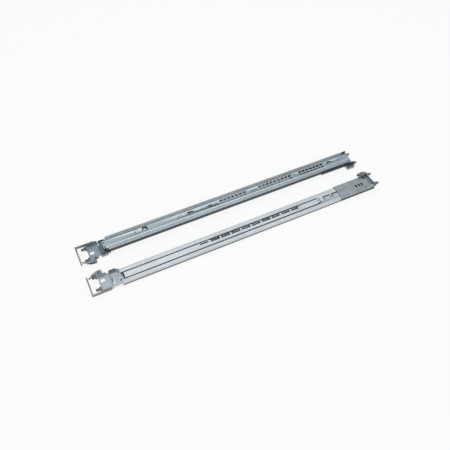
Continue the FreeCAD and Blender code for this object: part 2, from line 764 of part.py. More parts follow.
def front_bracket():
    """Folded front bracket: bearing flange, joggled web, side wall, boss and gussets."""
    strip = fold(joggled_strip(), -LEVER_EAR_REACH, OUTER_HALF)
    body = strip.common(plate(front_bracket_plan(), -1, RAIL_DEPTH))
    x = FRONT_FLANGE_X + BOSS_SETBACK
    up = Vector(0, 0, 1)
    boss = faceted(Vector(x, BOSS_CENTRE, OUTER_FLOOR), up, BOSS_RADIUS, BOSS_RADIUS - BOSS_HEIGHT, BOSS_HEIGHT)
    inside = FRONT_FLANGE_X + BRACKET_SHEET
    body = body.fuse([boss, front_side_wall()] + skirts(inside, inside + SKIRT_LENGTH, WEB_STANDOFF))
    sight = FRONT_FLANGE_X + SIGHT_HOLE_SETBACK
    half = SIGHT_HOLE_WIDTH / 2
    cuts = [
        block((FRONT_FLANGE_X - 1, inside + SIDE_CLEARANCE), (-LEVER_EAR_REACH - 1, -FRONT_FLANGE_HALF),
              (-1, WEB_STANDOFF)),
        block((sight, sight + SIGHT_HOLE_LENGTH), (SIGHT_HOLE_CENTRE - half, SIGHT_HOLE_CENTRE + half),
              (0, RAIL_DEPTH)),
        stud(Vector(x, BOSS_CENTRE, 0), up, BOSS_BORE, RAIL_DEPTH),
        release_cut(0, RAIL_DEPTH),
        stud(lever_pin_centre(), up, LEVER_PIN_RADIUS, RAIL_DEPTH),
    ]
    cuts += [shank(px, py, 0, RAIL_DEPTH) for px, py in bracket_rivet_places()]
    cuts += [shank(px, py, 0, RAIL_DEPTH) for px, py in slide_rivet_places()]
    cuts += [peg_shoulder(FRONT_FLANGE_X, -1, y) for y in peg_sides()]
    cuts += guard_rivet_holes()
    return body.cut(cuts)


def peg_sides():
    """Both peg positions across the rail."""
    return (-PEG_HALF, PEG_HALF)


def peg_shoulder(root, direction, y):
    """Square shoulder of a peg, let into the flange from its inner face."""
    ends = (root - direction * BRACKET_SHEET, root + direction * PEG_SHOULDER)
    return block(
        (min(ends), max(ends)), (y - PEG_SHOULDER_WIDTH / 2, y + PEG_SHOULDER_WIDTH / 2),
        (PEG_LEVEL - PEG_SHOULDER_HEIGHT / 2, PEG_LEVEL + PEG_SHOULDER_HEIGHT / 2))


def peg(root, direction, y, radius):
    """Rack peg: square shoulder through the flange, round shank, tapered tip."""
    out = Vector(direction, 0, 0)
    heel = Vector(root + direction * PEG_SHOULDER, y, PEG_LEVEL)
    straight = PEG_LENGTH - PEG_SHOULDER - PEG_TAPER
    shaft = rod(heel, out, radius, straight)
    tip = faceted(heel + out * straight, out, radius, radius - PEG_TAPER / 2, PEG_TAPER)
    return peg_shoulder(root, direction, y).fuse([shaft, tip])


def front_pegs():
    """Two pegs that enter the rack's front post from behind."""
    return Part.makeCompound([peg(FRONT_FLANGE_X, -1, y, FRONT_PEG_RADIUS) for y in peg_sides()])


def rear_pegs():
    """Two pegs that enter the rack's rear post."""
    return Part.makeCompound([peg(REAR_FLANGE_X, 1, y, REAR_PEG_RADIUS) for y in peg_sides()])


def guard_rivet_stations():
    """Stations of the two rivets through the guard arm and the bracket's side wall."""
    x = FRONT_FLANGE_X + SIDE_WALL_SETBACK
    return (x + 5.0, x + SIDE_WALL_LENGTH - 8.0)


def guard_rivet_level():
    """Height of the guard rivets."""
    return (OUTER_FLOOR + SIDE_WALL_TOP) / 2


def guard_rivet_holes():
    """Cutters for the guard rivets."""
    start = OUTER_HALF - BRACKET_SHEET - 1
    return [stud(Vector(x, start, guard_rivet_level()), Vector(0, 1, 0), RIVET_RADIUS, BRACKET_SHEET * 2 + 3)
            for x in guard_rivet_stations()]


def guard_rivets():
    """Two rivets that hold the guard arm."""
    rivets = []
    for x in guard_rivet_stations():
        start = Vector(x, OUTER_HALF - BRACKET_SHEET, guard_rivet_level())
        body = stud(start, Vector(0, 1, 0), RIVET_RADIUS, BRACKET_SHEET * 2)
        head_start = start + Vector(0, BRACKET_SHEET * 2, 0)
        head = stud(head_start, Vector(0, 1, 0), RIVET_HEAD, RIVET_HEAD_HEIGHT)
        rivets.append(body.fuse(head))
    return Part.makeCompound(rivets)


def front_guard():
    """L-shaped guard: a bar in front of the rack post and an arm back to the bracket."""
    outside = OUTER_HALF + BRACKET_SHEET
    bar = drawn([
        (GUARD_LOW_END, 0, GUARD_END_RADIUS), (outside, 0), (outside, GUARD_ARM_TOP),
        (outside - GUARD_ARM_WIDTH, GUARD_ARM_TOP), (outside - GUARD_ARM_WIDTH, GUARD_HEIGHT),
        (GUARD_LOW_END, GUARD_HEIGHT, GUARD_END_RADIUS),
    ], lambda y, z: Vector(0, y, z), Vector(GUARD_THICKNESS, 0, 0))
    arm = fold([
        (0, GUARD_HEIGHT), (GUARD_ARM_LENGTH - EDGE_CLIP, GUARD_HEIGHT),
        (GUARD_ARM_LENGTH, GUARD_HEIGHT + EDGE_CLIP), (GUARD_ARM_LENGTH, GUARD_ARM_TOP - EDGE_CLIP),
        (GUARD_ARM_LENGTH - EDGE_CLIP, GUARD_ARM_TOP), (0, GUARD_ARM_TOP),
    ], OUTER_HALF, outside)
    body = bar.fuse(arm)
    along = Vector(1, 0, 0)
    cuts = [rod(Vector(-1, y, GUARD_HEIGHT / 2), along, GUARD_SCREW_RADIUS, GUARD_THICKNESS + 2)
            for y in (GUARD_LOW_END + GUARD_END_RADIUS + 1.0, PEG_HALF)]
    cuts += guard_rivet_holes()
    return body.cut(cuts)


def pivot_bore(foot, direction, pin_radius, length):
    """Bore whose flats clear a many-sided pin at every angle."""
    radius = (pin_radius + PIVOT_CLEARANCE) / math.cos(math.pi / SMALL_ROUND_SIDES)
    return stud(foot, direction, radius, length)


def lever_pin_centre():
    """Foot of the front latch lever's pin axis."""
    return Vector(FRONT_FLANGE_X + LEVER_PIN_SETBACK, -LEVER_LINE - LEVER_PIN_INSET, 0)


def lever_pin(x, y, low, high):
    """Pivot pin with a head below the lever."""
    centre = Vector(x, y, low - LEVER_SEAT)
    pin = stud(centre, Vector(0, 0, 1), LEVER_PIN_RADIUS, high - low + LEVER_SEAT)
    head = stud(centre, Vector(0, 0, -1), LEVER_PIN_HEAD, LEVER_SEAT * 2)
    return pin.fuse(head)


def front_latch_pin():
    """Pin of the front latch lever, riveted in the bracket's ear."""
    centre = lever_pin_centre()
    return lever_pin(centre.x, centre.y, LATCH_LOW, OUTER_FLOOR)


def front_latch_lever():
    """Folded latch lever: hooked finger behind the guard, channel handle round the pin."""
    top = LATCH_HIGH - LEVER_SEAT
    inner = -LEVER_LINE
    pin_x = FRONT_FLANGE_X + LEVER_PIN_SETBACK
    finger_x = GUARD_THICKNESS + LEVER_GAP
    handle = plate([
        (finger_x + 8, inner), (pin_x + 4, inner), (pin_x + 7.5, inner - 3.0),
        (pin_x + 5.5, inner - 8.5), (pin_x - 6, inner - 7.4), (finger_x + 8, inner - 3.0),
    ], LATCH_LOW, top)
    hollow = plate([
        (finger_x + 12, inner - LEVER_SHEET), (pin_x + 9, inner - LEVER_SHEET),
        (pin_x + 9, inner - 10), (finger_x + 12, inner - 10),
    ], LATCH_LOW + LEVER_SHEET, top - LEVER_SHEET)
    middle = (LATCH_LOW + top) / 2
    finger = plate([
        (finger_x, inner + FINGER_BEND), (finger_x + 1.6, inner + FINGER_BEND), (finger_x + 7.6, inner),
        (finger_x + 9, inner), (finger_x + 9, inner - 1.4), (finger_x + 7, inner - 1.4),
        (finger_x, inner + FINGER_BEND - 1.6),
    ], middle - 2, middle + 2)
    body = handle.cut(hollow).fuse(finger)
    return body.cut(pivot_bore(lever_pin_centre(), Vector(0, 0, 1), LEVER_PIN_RADIUS, RAIL_DEPTH))


def front_latch_spring():
    """Leaf spring that presses the front lever's tail outwards, behind its pin."""
    anchor = FRONT_FLANGE_X + BRACKET_SHEET + SKIRT_LENGTH - SPRING_ANCHOR - 1.0
    middle = (LATCH_LOW + LATCH_HIGH) / 2
    return leaf_spring(anchor, anchor - SPRING_RUN, LEVER_LINE, middle - 1.5, middle + 1.5)


def slide_rivet_places():
    """Headed guide rivets of the release slide."""
    x = FRONT_FLANGE_X + TAB_START + RIVET_HEAD + 1.7
    y = -OUTER_HALF + SLIDE_PLATE_SHEET + RIVET_HEAD + 0.1
    return [(x, y), (x + SLIDE_RIVET_SPACING, y)]


def slide_rivets():
    """Guide rivets: their low heads keep the release slide against the bracket."""
    rivets = []
    low = BRACKET_WEB_LOW - SLIDE_PLATE_SHEET - LEVER_SEAT
    for x, y in slide_rivet_places():
        body = shank(x, y, low, WEB_STANDOFF)
        head = stud(Vector(x, y, low), Vector(0, 0, -1), RIVET_HEAD, RIVET_HEAD_HEIGHT)
        rivets.append(body.fuse(head))
    return Part.makeCompound(rivets)


def release_slide():
    """Sliding release plate with an upright thumb tab on the rail's edge."""
    x = FRONT_FLANGE_X + TAB_START
    high = BRACKET_WEB_LOW
    low = high - SLIDE_PLATE_SHEET
    outer = -OUTER_HALF
    base = plate([
        (x, outer), (x + SLIDE_PLATE_LENGTH, outer),
        (x + SLIDE_PLATE_LENGTH, outer + SLIDE_PLATE_WIDTH), (x, outer + SLIDE_PLATE_WIDTH),
    ], low, high)
    foot = low - TAB_DROP + SLIDE_PLATE_SHEET
    end = x + TAB_LENGTH
    tab = fold([
        (x, high), (x, foot + TAB_CORNER), (x + TAB_CORNER, foot), (end - TAB_CORNER, foot),
        (end, foot + TAB_CORNER), (end, high),
    ], outer, outer + SLIDE_PLATE_SHEET)
    body = base.fuse(tab)
    half = RIVET_RADIUS + SLIDE_CLEARANCE
    cuts = [block((px - half, px + SLIDE_TRAVEL + half), (py - half, py + half), (low - 1, high + 1))
            for px, py in slide_rivet_places()]
    return body.cut(cuts)


def rear_pin_centre():
    """Foot of the rear latch lever's pin axis."""
    return Vector(REAR_FLANGE_X - REAR_PIN_SETBACK, -LEVER_LINE - LEVER_PIN_INSET, 0)


def rear_section():
    """Section of the rear bracket around the outer member."""
    half = OUTER_HALF + SIDE_CLEARANCE + BRACKET_SHEET
    return channel(half, REAR_WEB_LOW, REAR_WALL_TOP, BRACKET_SHEET, BRACKET_CORNER + 0.6)


def latch_cut(low, high):
    """Comb-shaped opening that frees two spring catches in the rear bracket's web."""
    x = REAR_FLANGE_X - LATCH_CUT_SETBACK
    half = LATCH_CUT_WIDTH / 2
    slot = (LATCH_CUT_LENGTH - 2 * CATCH_WIDTH) / 3
    opening = block((x, x + LATCH_CUT_LENGTH), (-half, half), (low, high))
    catches = []
    for i in range(2):
        start = x + slot + i * (slot + CATCH_WIDTH)
        catches.append(block((start, start + CATCH_WIDTH), (-half + CATCH_ROOT, half), (low, high)))
    return opening.cut(catches)


def rear_bracket():
    """Folded rear bracket that wraps the outer member and carries the rear pegs."""
    half = OUTER_HALF + SIDE_CLEARANCE + BRACKET_SHEET
    shell = section(rear_section(), REAR_BRACKET_X, REAR_FLANGE_X)
    web = (REAR_WEB_LOW, REAR_WEB_HIGH)
    flange = block((REAR_INSIDE_X, REAR_FLANGE_X), (-REAR_FLANGE_HALF, REAR_FLANGE_HALF), (0, REAR_WEB_HIGH))
    pin = rear_pin_centre()
    ear = plate([
        (pin.x - 8, -half + 2), (pin.x - 8, EAR_CLIP - LEVER_EAR_REACH), (pin.x - 8 + EAR_CLIP, -LEVER_EAR_REACH),
        (pin.x + 7 - EAR_CLIP, -LEVER_EAR_REACH), (pin.x + 7, EAR_CLIP - LEVER_EAR_REACH), (pin.x + 7, -half + 2),
    ], *web)
    body = shell.fuse([flange, ear] + skirts(rear_lever_front(), REAR_INSIDE_X, REAR_WEB_LOW))
    x = REAR_FLANGE_X - EMBOSS_SETBACK
    rib = clipped((x, x + EMBOSS_LENGTH), (-EMBOSS_WIDTH / 2, EMBOSS_WIDTH / 2),
                  (REAR_WEB_LOW - EMBOSS_HEIGHT, REAR_WEB_LOW), EMBOSS_WIDTH / 4)
    body = body.fuse(rib)
    cuts = [
        latch_cut(REAR_WEB_LOW - 1, REAR_WEB_HIGH + 1),
        clipped(
            (REAR_FLANGE_X - HOOK_HOLE_SETBACK, REAR_FLANGE_X - HOOK_HOLE_SETBACK + HOOK_HOLE_LENGTH),
            (HOOK_HOLE_CENTRE - HOOK_HOLE_WIDTH / 2, HOOK_HOLE_CENTRE + HOOK_HOLE_WIDTH / 2),
            (REAR_WEB_LOW - 1, REAR_WEB_HIGH + 1), 1.0),
        stud(pin, Vector(0, 0, 1), LEVER_PIN_RADIUS, REAR_WEB_HIGH + 1),
        stud(Vector(REAR_BRACKET_X + 7, 0, 0), Vector(0, 0, 1), DOT_RADIUS, RAIL_DEPTH),
    ]
    cuts += [peg_shoulder(REAR_FLANGE_X, 1, y) for y in peg_sides()]
    cuts += [shank(px, py, 0, REAR_WEB_HIGH + 1) for px, py in rear_rivet_places()]
    return body.cut(cuts)


def rear_rivet_places():
    """Rivets between the extension bar's foot and the rear bracket."""
    x = REAR_INSIDE_X - BAR_FOOT_LENGTH / 2
    return [(x, BAR_CENTRE - FOOT_RIVET_SPACING / 2), (x, BAR_CENTRE + FOOT_RIVET_SPACING / 2)]


def rear_rivets():
    """Rivets of the extension bar's foot, and the one that holds its glide."""
    rivets = [rivet(x, y, REAR_WEB_LOW, REAR_WEB_HIGH + BAR_SHEET, 0) for x, y in rear_rivet_places()]
    foot = Vector(glide_middle(), INDEX_CENTRE, BAR_LOW - GLIDE_PROUD)
    rivets.append(stud(foot, Vector(0, 0, 1), GLIDE_RIVET, BAR_SHEET + GLIDE_PROUD))
    return Part.makeCompound(rivets)


def bar_front():
    """Station of the extension bar's front end."""
    return REAR_INSIDE_X - BAR_LENGTH


def glide_middle():
    """Station of the glide's rivet."""
    return bar_front() + GLIDE_START + GLIDE_LENGTH / 2


def extension_bar():
    """Long index bar that runs inside the outer member, stepped down to the bracket."""
    foot = REAR_INSIDE_X - BAR_FOOT_LENGTH
    drop = foot - BAR_DROP_RUN
    foot_low = REAR_WEB_HIGH
    bar = fold([
        (bar_front(), BAR_LOW), (drop, BAR_LOW), (foot, foot_low), (REAR_INSIDE_X, foot_low),
        (REAR_INSIDE_X, foot_low + BAR_SHEET), (foot + BAR_SHEET / 2, foot_low + BAR_SHEET),
        (drop + BAR_SHEET / 2, BAR_HIGH), (bar_front(), BAR_HIGH),
    ], BAR_CENTRE - BAR_WIDTH / 2, BAR_CENTRE + BAR_WIDTH / 2)
    low = INDEX_CENTRE - INDEX_WIDTH / 2
    across = (low, low + INDEX_WIDTH)
    through = (BAR_LOW - 1, BAR_HIGH + 1)
    up = Vector(0, 0, 1)
    cuts = []
    for i in range(INDEX_SLOTS):
        start = bar_front() + INDEX_START + i * INDEX_PITCH
        cuts.append(block((start, start + INDEX_LENGTH), across, through))
    recess = bar_front() + RECESS_START
    cuts.append(block(
        (recess, recess + RECESS_LENGTH), (BAR_CENTRE - RECESS_WIDTH / 2, BAR_CENTRE + RECESS_WIDTH / 2), through))
    cuts += [shank(px, py, 0, RAIL_DEPTH) for px, py in rear_rivet_places()]
    cuts.append(stud(Vector(glide_middle(), INDEX_CENTRE, 0), up, GLIDE_RIVET, RAIL_DEPTH))
    cuts.append(stud(Vector(bar_front() + BAR_DOT_STATION, BAR_CENTRE, 0), up, DOT_RADIUS, RAIL_DEPTH))
    return bar.cut(cuts)


def bar_glide():
    """Plastic glide under the bar's front end, seen through the window."""
    x = bar_front() + GLIDE_START
    body = clipped((x, x + GLIDE_LENGTH), (INDEX_CENTRE - GLIDE_WIDTH / 2, INDEX_CENTRE + GLIDE_WIDTH / 2),
                   (BAR_LOW - GLIDE_PROUD, BAR_LOW), GLIDE_WIDTH / 3)
    return body.cut(stud(Vector(glide_middle(), INDEX_CENTRE, 0), Vector(0, 0, 1), GLIDE_RIVET, RAIL_DEPTH))


def rear_latch_pin():
    """Pin of the rear latch lever."""
    pin = rear_pin_centre()
    return lever_pin(pin.x, pin.y, LATCH_LOW, REAR_WEB_HIGH)


def rear_lever_front():
    """Station of the rear lever's front end."""
    return REAR_FLANGE_X - REAR_LEVER_LENGTH


def rear_latch_lever():
    """Rounded thumb lever at the rear bracket's edge, hollow on its underside."""
    pin = rear_pin_centre()
    top = REAR_WEB_LOW - LEVER_SEAT
    front = rear_lever_front()
    nose = REAR_INSIDE_X + REAR_NOSE
    outline = [
        (pin.x - LEVER_PIN_INSET, -LEVER_LINE), (nose, -LEVER_LINE), (nose, -LEVER_LINE - 3.0),
        (REAR_INSIDE_X - 1, -REAR_LEVER_REACH, 4.0), (front + 3, -REAR_LEVER_REACH, 3.5),
        (front, -LEVER_LINE - REAR_LEVER_RELIEF),
    ]
    body = plate(outline, LATCH_LOW, top)
    return body.cut(pivot_bore(pin, Vector(0, 0, 1), LEVER_PIN_RADIUS, RAIL_DEPTH))


def rear_latch_spring():
    """Leaf spring that presses the rear lever's front end outwards."""
    tip = rear_lever_front() + 3.5
    pin = rear_pin_centre()
    slope = REAR_LEVER_RELIEF / (pin.x - LEVER_PIN_INSET - rear_lever_front())
    line = LEVER_LINE + slope * (pin.x - LEVER_PIN_INSET - tip)
    middle = (LATCH_LOW + REAR_WEB_LOW) / 2
    return leaf_spring(tip + REAR_SPRING_RUN, tip, line - SPRING_SHEET / 4, middle - 1.3, middle + 1.3)


def latch_rivet_places():
    """Flush rivets of the thumb latch's spring."""
    return [(INNER_FRONT + station, y) for station, y in LATCH_RIVET_PLACES]


def thumb_pin_foot():
    """End of the thumb latch's cross pin."""
    return Vector(INNER_FRONT + LATCH_PIN_SETBACK, -LATCH_EAR_SPACING / 2, LATCH_PIN_LEVEL)


def thumb_pin():
    """Cross pin of the thumb latch."""
    return stud(thumb_pin_foot(), Vector(0, 1, 0), LATCH_PIN_RADIUS, LATCH_EAR_SPACING)


def thumb_latch():
    """Rocking thumb latch: plate on the cross pin with a pad that rises into the web's hole."""
    pin_x = INNER_FRONT + LATCH_PIN_SETBACK
    front = INNER_FRONT + THUMB_HOLE_START - 2.0
    high = LATCH_PIN_LEVEL + LATCH_TONGUE_SHEET / 2
    low = high - LATCH_TONGUE_SHEET
    across = Vector(0, 1, 0)
    body = fold([
        (front, low), (pin_x + 2.2, low), (pin_x + 2.2, high), (front, high),
    ], -LATCH_HALF, LATCH_HALF)
    knuckle = stud(Vector(pin_x, -LATCH_HALF, LATCH_PIN_LEVEL), across, LATCH_PIN_RADIUS + 0.6, LATCH_HALF * 2)
    pad_x = INNER_FRONT + THUMB_HOLE_START
    pad = fold([
        (pad_x + 1.2, high), (pad_x + 2.0, INNER_CEILING + PAD_RISE),
        (pad_x + THUMB_HOLE_LENGTH - 3.2, INNER_CEILING + PAD_RISE), (pad_x + THUMB_HOLE_LENGTH - 2.4, high),
    ], -LATCH_HALF, LATCH_HALF)
    body = body.fuse([knuckle, pad])
    return body.cut(pivot_bore(thumb_pin_foot(), across, LATCH_PIN_RADIUS, LATCH_EAR_SPACING))


def thumb_spring():
    """Leaf spring riveted under the web that lifts the thumb latch."""
    places = latch_rivet_places()
    latch_x = INNER_FRONT + THUMB_HOLE_START - 2.0
    low = LATCH_PIN_LEVEL - LATCH_TONGUE_SHEET / 2 - SLIDE_CLEARANCE
    start = places[0][0] - LATCH_SPRING_EDGE
    strip = fold([
        (start, INNER_CEILING), (start, INNER_CEILING - SPRING_SHEET),
        (latch_x - 4.6, INNER_CEILING - SPRING_SHEET), (latch_x - 1.6, low - SPRING_SHEET),
        (latch_x + 7, low - SPRING_SHEET), (latch_x + 7, low), (latch_x - 1.0, low),
        (latch_x - 4.0, INNER_CEILING),
    ], places[1][1] - LATCH_SPRING_EDGE, places[0][1] + LATCH_SPRING_EDGE)
    return strip.cut([shank(x, y, 0, RAIL_DEPTH) for x, y in places])


def thumb_rivets():
    """Flush rivets that hold the thumb latch's spring."""
    low = INNER_CEILING - SPRING_SHEET
    return Part.makeCompound([shank(x, y, low, INNER_HIGH) for x, y in latch_rivet_places()])


def rail_pieces():
    """Every piece of one rail in the rail's own frame."""
    return {
        "outer_member": outer_member(),
        "front_bracket": front_bracket(),
        "front_guard": front_guard(),
        "front_guard_rivets": guard_rivets(),
        "front_pegs": front_pegs(),
        "fixed_rivets": fixed_rivets(),
        "closing_bumpers": bumpers(),
        "front_latch_pin": front_latch_pin(),
        "front_latch_lever": front_latch_lever(),
        "front_latch_spring": front_latch_spring(),
        "release_slide": release_slide(),
        "release_slide_rivets": slide_rivets(),
        "rear_bracket": rear_bracket(),
        "rear_pegs": rear_pegs(),
        "rear_rivets": rear_rivets(),
        "extension_bar": extension_bar(),
        "bar_glide": bar_glide(),
        "rear_latch_pin": rear_latch_pin(),
        "rear_latch_lever": rear_latch_lever(),
        "rear_latch_spring": rear_latch_spring(),
        "intermediate_member": middle_member(),
        "outer_ball_retainer": outer_retainer(),
        "outer_balls": ball_rows(outer_ball_y(), OUTER_BALL_LEVEL, OUTER_BALL_RADIUS),
        "inner_ball_retainer": inner_retainer(),
        "inner_balls": ball_rows(inner_ball_y(), INNER_BALL_LEVEL, INNER_BALL_RADIUS),
        "inner_member": inner_member(),
        "thumb_latch": thumb_latch(),
        "thumb_latch_pin": thumb_pin(),
        "thumb_latch_spring": thumb_spring(),
        "thumb_latch_rivets": thumb_rivets(),
    }


def left_placement():
    """The left rail, server face up."""
    return FreeCAD.Placement(Vector(-RAIL_LENGTH / 2, PAIR_SPACING / 2, 0), FreeCAD.Rotation())


def right_placement():
    """The right rail, the same part turned over about its length."""
    turn = FreeCAD.Rotation(Vector(1, 0, 0), 180)
    return FreeCAD.Placement(Vector(-RAIL_LENGTH / 2, -PAIR_SPACING / 2, RAIL_DEPTH), turn)


os.makedirs("parts", exist_ok=True)
for name, shape in rail_pieces().items():
    for side, placement in (("left", left_placement()), ("right", right_placement())):
        placed = shape.copy()
        placed.Placement = placement.multiply(placed.Placement)
        placed.exportStep("parts/" + side + "_" + name + ".step")
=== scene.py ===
import bpy
import bmesh
import math
from mathutils import Matrix, Vector


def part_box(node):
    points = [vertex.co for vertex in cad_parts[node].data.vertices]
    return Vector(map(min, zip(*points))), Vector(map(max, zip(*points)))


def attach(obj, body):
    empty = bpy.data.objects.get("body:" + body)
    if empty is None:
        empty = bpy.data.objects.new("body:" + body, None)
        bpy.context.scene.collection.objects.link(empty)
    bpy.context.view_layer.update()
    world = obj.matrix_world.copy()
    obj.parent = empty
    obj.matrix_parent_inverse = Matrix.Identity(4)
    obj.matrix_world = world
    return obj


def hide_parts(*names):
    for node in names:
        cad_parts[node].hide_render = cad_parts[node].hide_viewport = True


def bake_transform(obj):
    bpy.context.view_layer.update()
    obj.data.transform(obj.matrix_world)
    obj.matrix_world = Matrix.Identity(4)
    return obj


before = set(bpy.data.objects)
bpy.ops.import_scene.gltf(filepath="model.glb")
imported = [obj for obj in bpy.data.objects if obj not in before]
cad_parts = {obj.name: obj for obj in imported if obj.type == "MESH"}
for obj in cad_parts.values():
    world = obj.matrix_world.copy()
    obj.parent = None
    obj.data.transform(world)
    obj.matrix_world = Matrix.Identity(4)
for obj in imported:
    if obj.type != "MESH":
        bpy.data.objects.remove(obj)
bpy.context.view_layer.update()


# ---- Studio table ------------------------------------------------------------------------------
# The pair lies flat on a white paper sweep, under a broad overhead softbox, a lower one in front
# and a weak one from the left, and is seen from above its front left end.

MM = 0.001


def from_hex(code):
    """Linear colour from an sRGB hex value."""
    parts = [int(code[i:i + 2], 16) / 255 for i in (1, 3, 5)]
    return [c / 12.92 if c <= 0.04045 else ((c + 0.055) / 1.055) ** 2.4 for c in parts] + [1.0]


def add(tree, kind, settings=None, **inputs):
    """Node with its settings, its values and the links into it. _0 is the input of that number."""
    made = tree.nodes.new(kind)
    for key, value in (settings or {}).items():
        setattr(made, key, value)
    for key, value in inputs.items():
        socket = made.inputs[int(key[1:])] if key[0] == "_" else made.inputs[key.replace("_", " ")]
        if isinstance(value, bpy.types.NodeSocket):
            tree.links.new(value, socket)
        else:
            socket.default_value = value
    return made


def new_finish(name):
    """Empty node material, its tree and its output."""
    material = bpy.data.materials.new(name)
    material.use_nodes = True
    tree = material.node_tree
    tree.nodes.clear()
    return material, tree, tree.nodes.new("ShaderNodeOutputMaterial")


TIMES = {"operation": "MULTIPLY"}
LARGER = {"operation": "MAXIMUM"}

SWEEP_WHITE = "#F6F6F6"
SWEEP_HALF = 6.0
SWEEP_GLOW = 0.86
FIBRE_MM = 1.1

# White sweep paper: matt, with fine fibres, and a glow that lifts it to plain white where the
# camera or a bright surface sees it. The fibres are drawn far coarser than real ones.
sweep_paper, tree, out = new_finish("white_sweep_paper")
grain = add(tree, "ShaderNodeTexNoise", Scale=1 / (FIBRE_MM * MM), Detail=3.0)
fibres = add(tree, "ShaderNodeBump", Strength=0.05, Distance=0.2 * MM, Height=grain.outputs["Fac"])
paper = add(tree, "ShaderNodeBsdfDiffuse", Color=from_hex(SWEEP_WHITE), Normal=fibres.outputs["Normal"])
glow = add(tree, "ShaderNodeEmission", Color=(1, 1, 1, 1), Strength=1.0)
rays = add(tree, "ShaderNodeLightPath")
seen = add(tree, "ShaderNodeMath", LARGER, _0=rays.outputs["Is Camera Ray"], _1=rays.outputs["Is Glossy Ray"])
through = add(tree, "ShaderNodeMath", LARGER, _0=seen.outputs[0], _1=rays.outputs["Is Transmission Ray"])
share = add(tree, "ShaderNodeMath", TIMES, _0=through.outputs[0], _1=SWEEP_GLOW)
lit = add(tree, "ShaderNodeMixShader", _0=share.outputs[0], _1=paper.outputs[0], _2=glow.outputs[0])
tree.links.new(lit.outputs[0], out.inputs["Surface"])

floor_mesh = bpy.data.meshes.new("sweep")
corners = [(x * SWEEP_HALF, y * SWEEP_HALF, 0) for x, y in ((-1, -1), (1, -1), (1, 1), (-1, 1))]
floor_mesh.from_pydata(corners, [], [(0, 1, 2, 3)])
floor_mesh.materials.append(sweep_paper)
sweep = bpy.data.objects.new("sweep", floor_mesh)
bpy.context.collection.objects.link(sweep)
bpy.context.scene.view_settings.view_transform = "Standard"

ROOM_LEVEL = 0.78
ROOM_COLOUR = "#EEF1F4"

world = bpy.data.worlds.new("studio")
bpy.context.scene.world = world
world.use_nodes = True
tree = world.node_tree
tree.nodes.clear()
rays = add(tree, "ShaderNodeLightPath")
room = add(tree, "ShaderNodeBackground", Color=from_hex(ROOM_COLOUR), Strength=ROOM_LEVEL)
white = add(tree, "ShaderNodeBackground", Color=(1, 1, 1, 1), Strength=1.0)
mixed = add(tree, "ShaderNodeMixShader", _0=rays.outputs["Is Camera Ray"],
            _1=room.outputs[0], _2=white.outputs[0])
add(tree, "ShaderNodeOutputWorld", Surface=mixed.outputs[0])


def softbox(name, place, width, height, watts):
    """Soft rectangular lamp aimed at the middle of the table."""
    lamp = bpy.data.lights.new(name, "AREA")
    lamp.shape = "RECTANGLE"
    lamp.size = width
    lamp.size_y = height
    lamp.energy = watts
    holder = bpy.data.objects.new(name, lamp)
    holder.location = place
    holder.rotation_euler = (-Vector(place)).to_track_quat("-Z", "Y").to_euler()
    bpy.context.collection.objects.link(holder)


softbox("overhead_softbox", place=(0.1, 0.5, 1.6), width=1.8, height=1.2, watts=3.6)
softbox("front_softbox", place=(0.0, -1.3, 1.15), width=1.6, height=0.5, watts=4.5)
softbox("left_softbox", place=(-1.5, -0.3, 0.9), width=0.8, height=0.8, watts=0.7)

# The camera looks down at the pair's middle: angles in radians, lengths in metres.
ELEVATION = 0.9024
TURN = 0.44618
DISTANCE = 1.1796
AIM = Vector((-0.02757, -0.0082, 0.0))
LENS_PER_WIDTH = 1.153222
SENSOR = 36.0

forward = Vector((math.cos(ELEVATION) * math.sin(TURN), math.cos(ELEVATION) * math.cos(TURN),
                  -math.sin(ELEVATION)))
right = Vector((math.cos(TURN), -math.sin(TURN), 0))
view = bpy.data.cameras.new("camera")
view.sensor_width = SENSOR
view.lens = SENSOR * LENS_PER_WIDTH
camera = bpy.data.objects.new("camera", view)
facing = Matrix((right, right.cross(forward), -forward)).transposed().to_4x4()
camera.matrix_world = Matrix.Translation(AIM - forward * DISTANCE) @ facing
bpy.context.collection.objects.link(camera)
bpy.context.scene.camera = camera


# ---- Outer members -----------------------------------------------------------------------------
# Roll-formed steel strip, zinc plated, riveted to the front bracket. The balls run inside its two
# lips; each side wall carries a band of painted shade along the race, and the web is left clean.
# The left one carries a blue-passivated plate, the right one a clear bright one.

LESS = {"operation": "SUBTRACT"}
SMOOTH = {"interpolation_type": "SMOOTHSTEP"}
COLOURS = {"data_type": "RGBA"}

SIDES = ("left", "right")
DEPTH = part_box("left_outer_member")[1][2]
# Edge colour: partly polish, partly a painted highlight.
EDGE_POLISH_AND_HIGHLIGHT = "#E6EBEE"
EDGE_RADIUS_MM = 0.5


def rail_frame(side):
    """Matrix from a rail's own millimetres to the row: the right rail is turned over."""
    low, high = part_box(side + "_outer_member")
    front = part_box(side + "_front_guard")[0][0]
    middle = (low[1] + high[1]) / 2
    if side == "left":
        return Matrix.Translation((front, middle, 0)) @ Matrix.Scale(MM, 4)
    over = Matrix.Rotation(math.pi, 4, "X")
    return Matrix.Translation((front, middle, DEPTH)) @ over @ Matrix.Scale(MM, 4)


def painted_race_shade(tree, place, colour, painted_shade, band, over):
    """Painted shade along the ball race, between four depths in the rail."""
    depth = add(tree, "ShaderNodeSeparateXYZ", Vector=place).outputs[2]
    if over:
        depth = add(tree, "ShaderNodeMath", LESS, _0=DEPTH, _1=depth).outputs[0]
    rise, full, fade, gone = [level * MM for level in band]
    coming = add(tree, "ShaderNodeMapRange", SMOOTH, Value=depth, From_Min=rise, From_Max=full)
    going = add(tree, "ShaderNodeMapRange", SMOOTH, Value=depth, From_Min=fade, From_Max=gone,
                To_Min=1.0, To_Max=0.0)
    shade_share = add(tree, "ShaderNodeMath", TIMES, _0=coming.outputs[0], _1=going.outputs[0])
    shaded = add(tree, "ShaderNodeMix", COLOURS, _0=shade_share.outputs[0], _6=colour, _7=from_hex(painted_shade))
    return shaded.outputs[2]


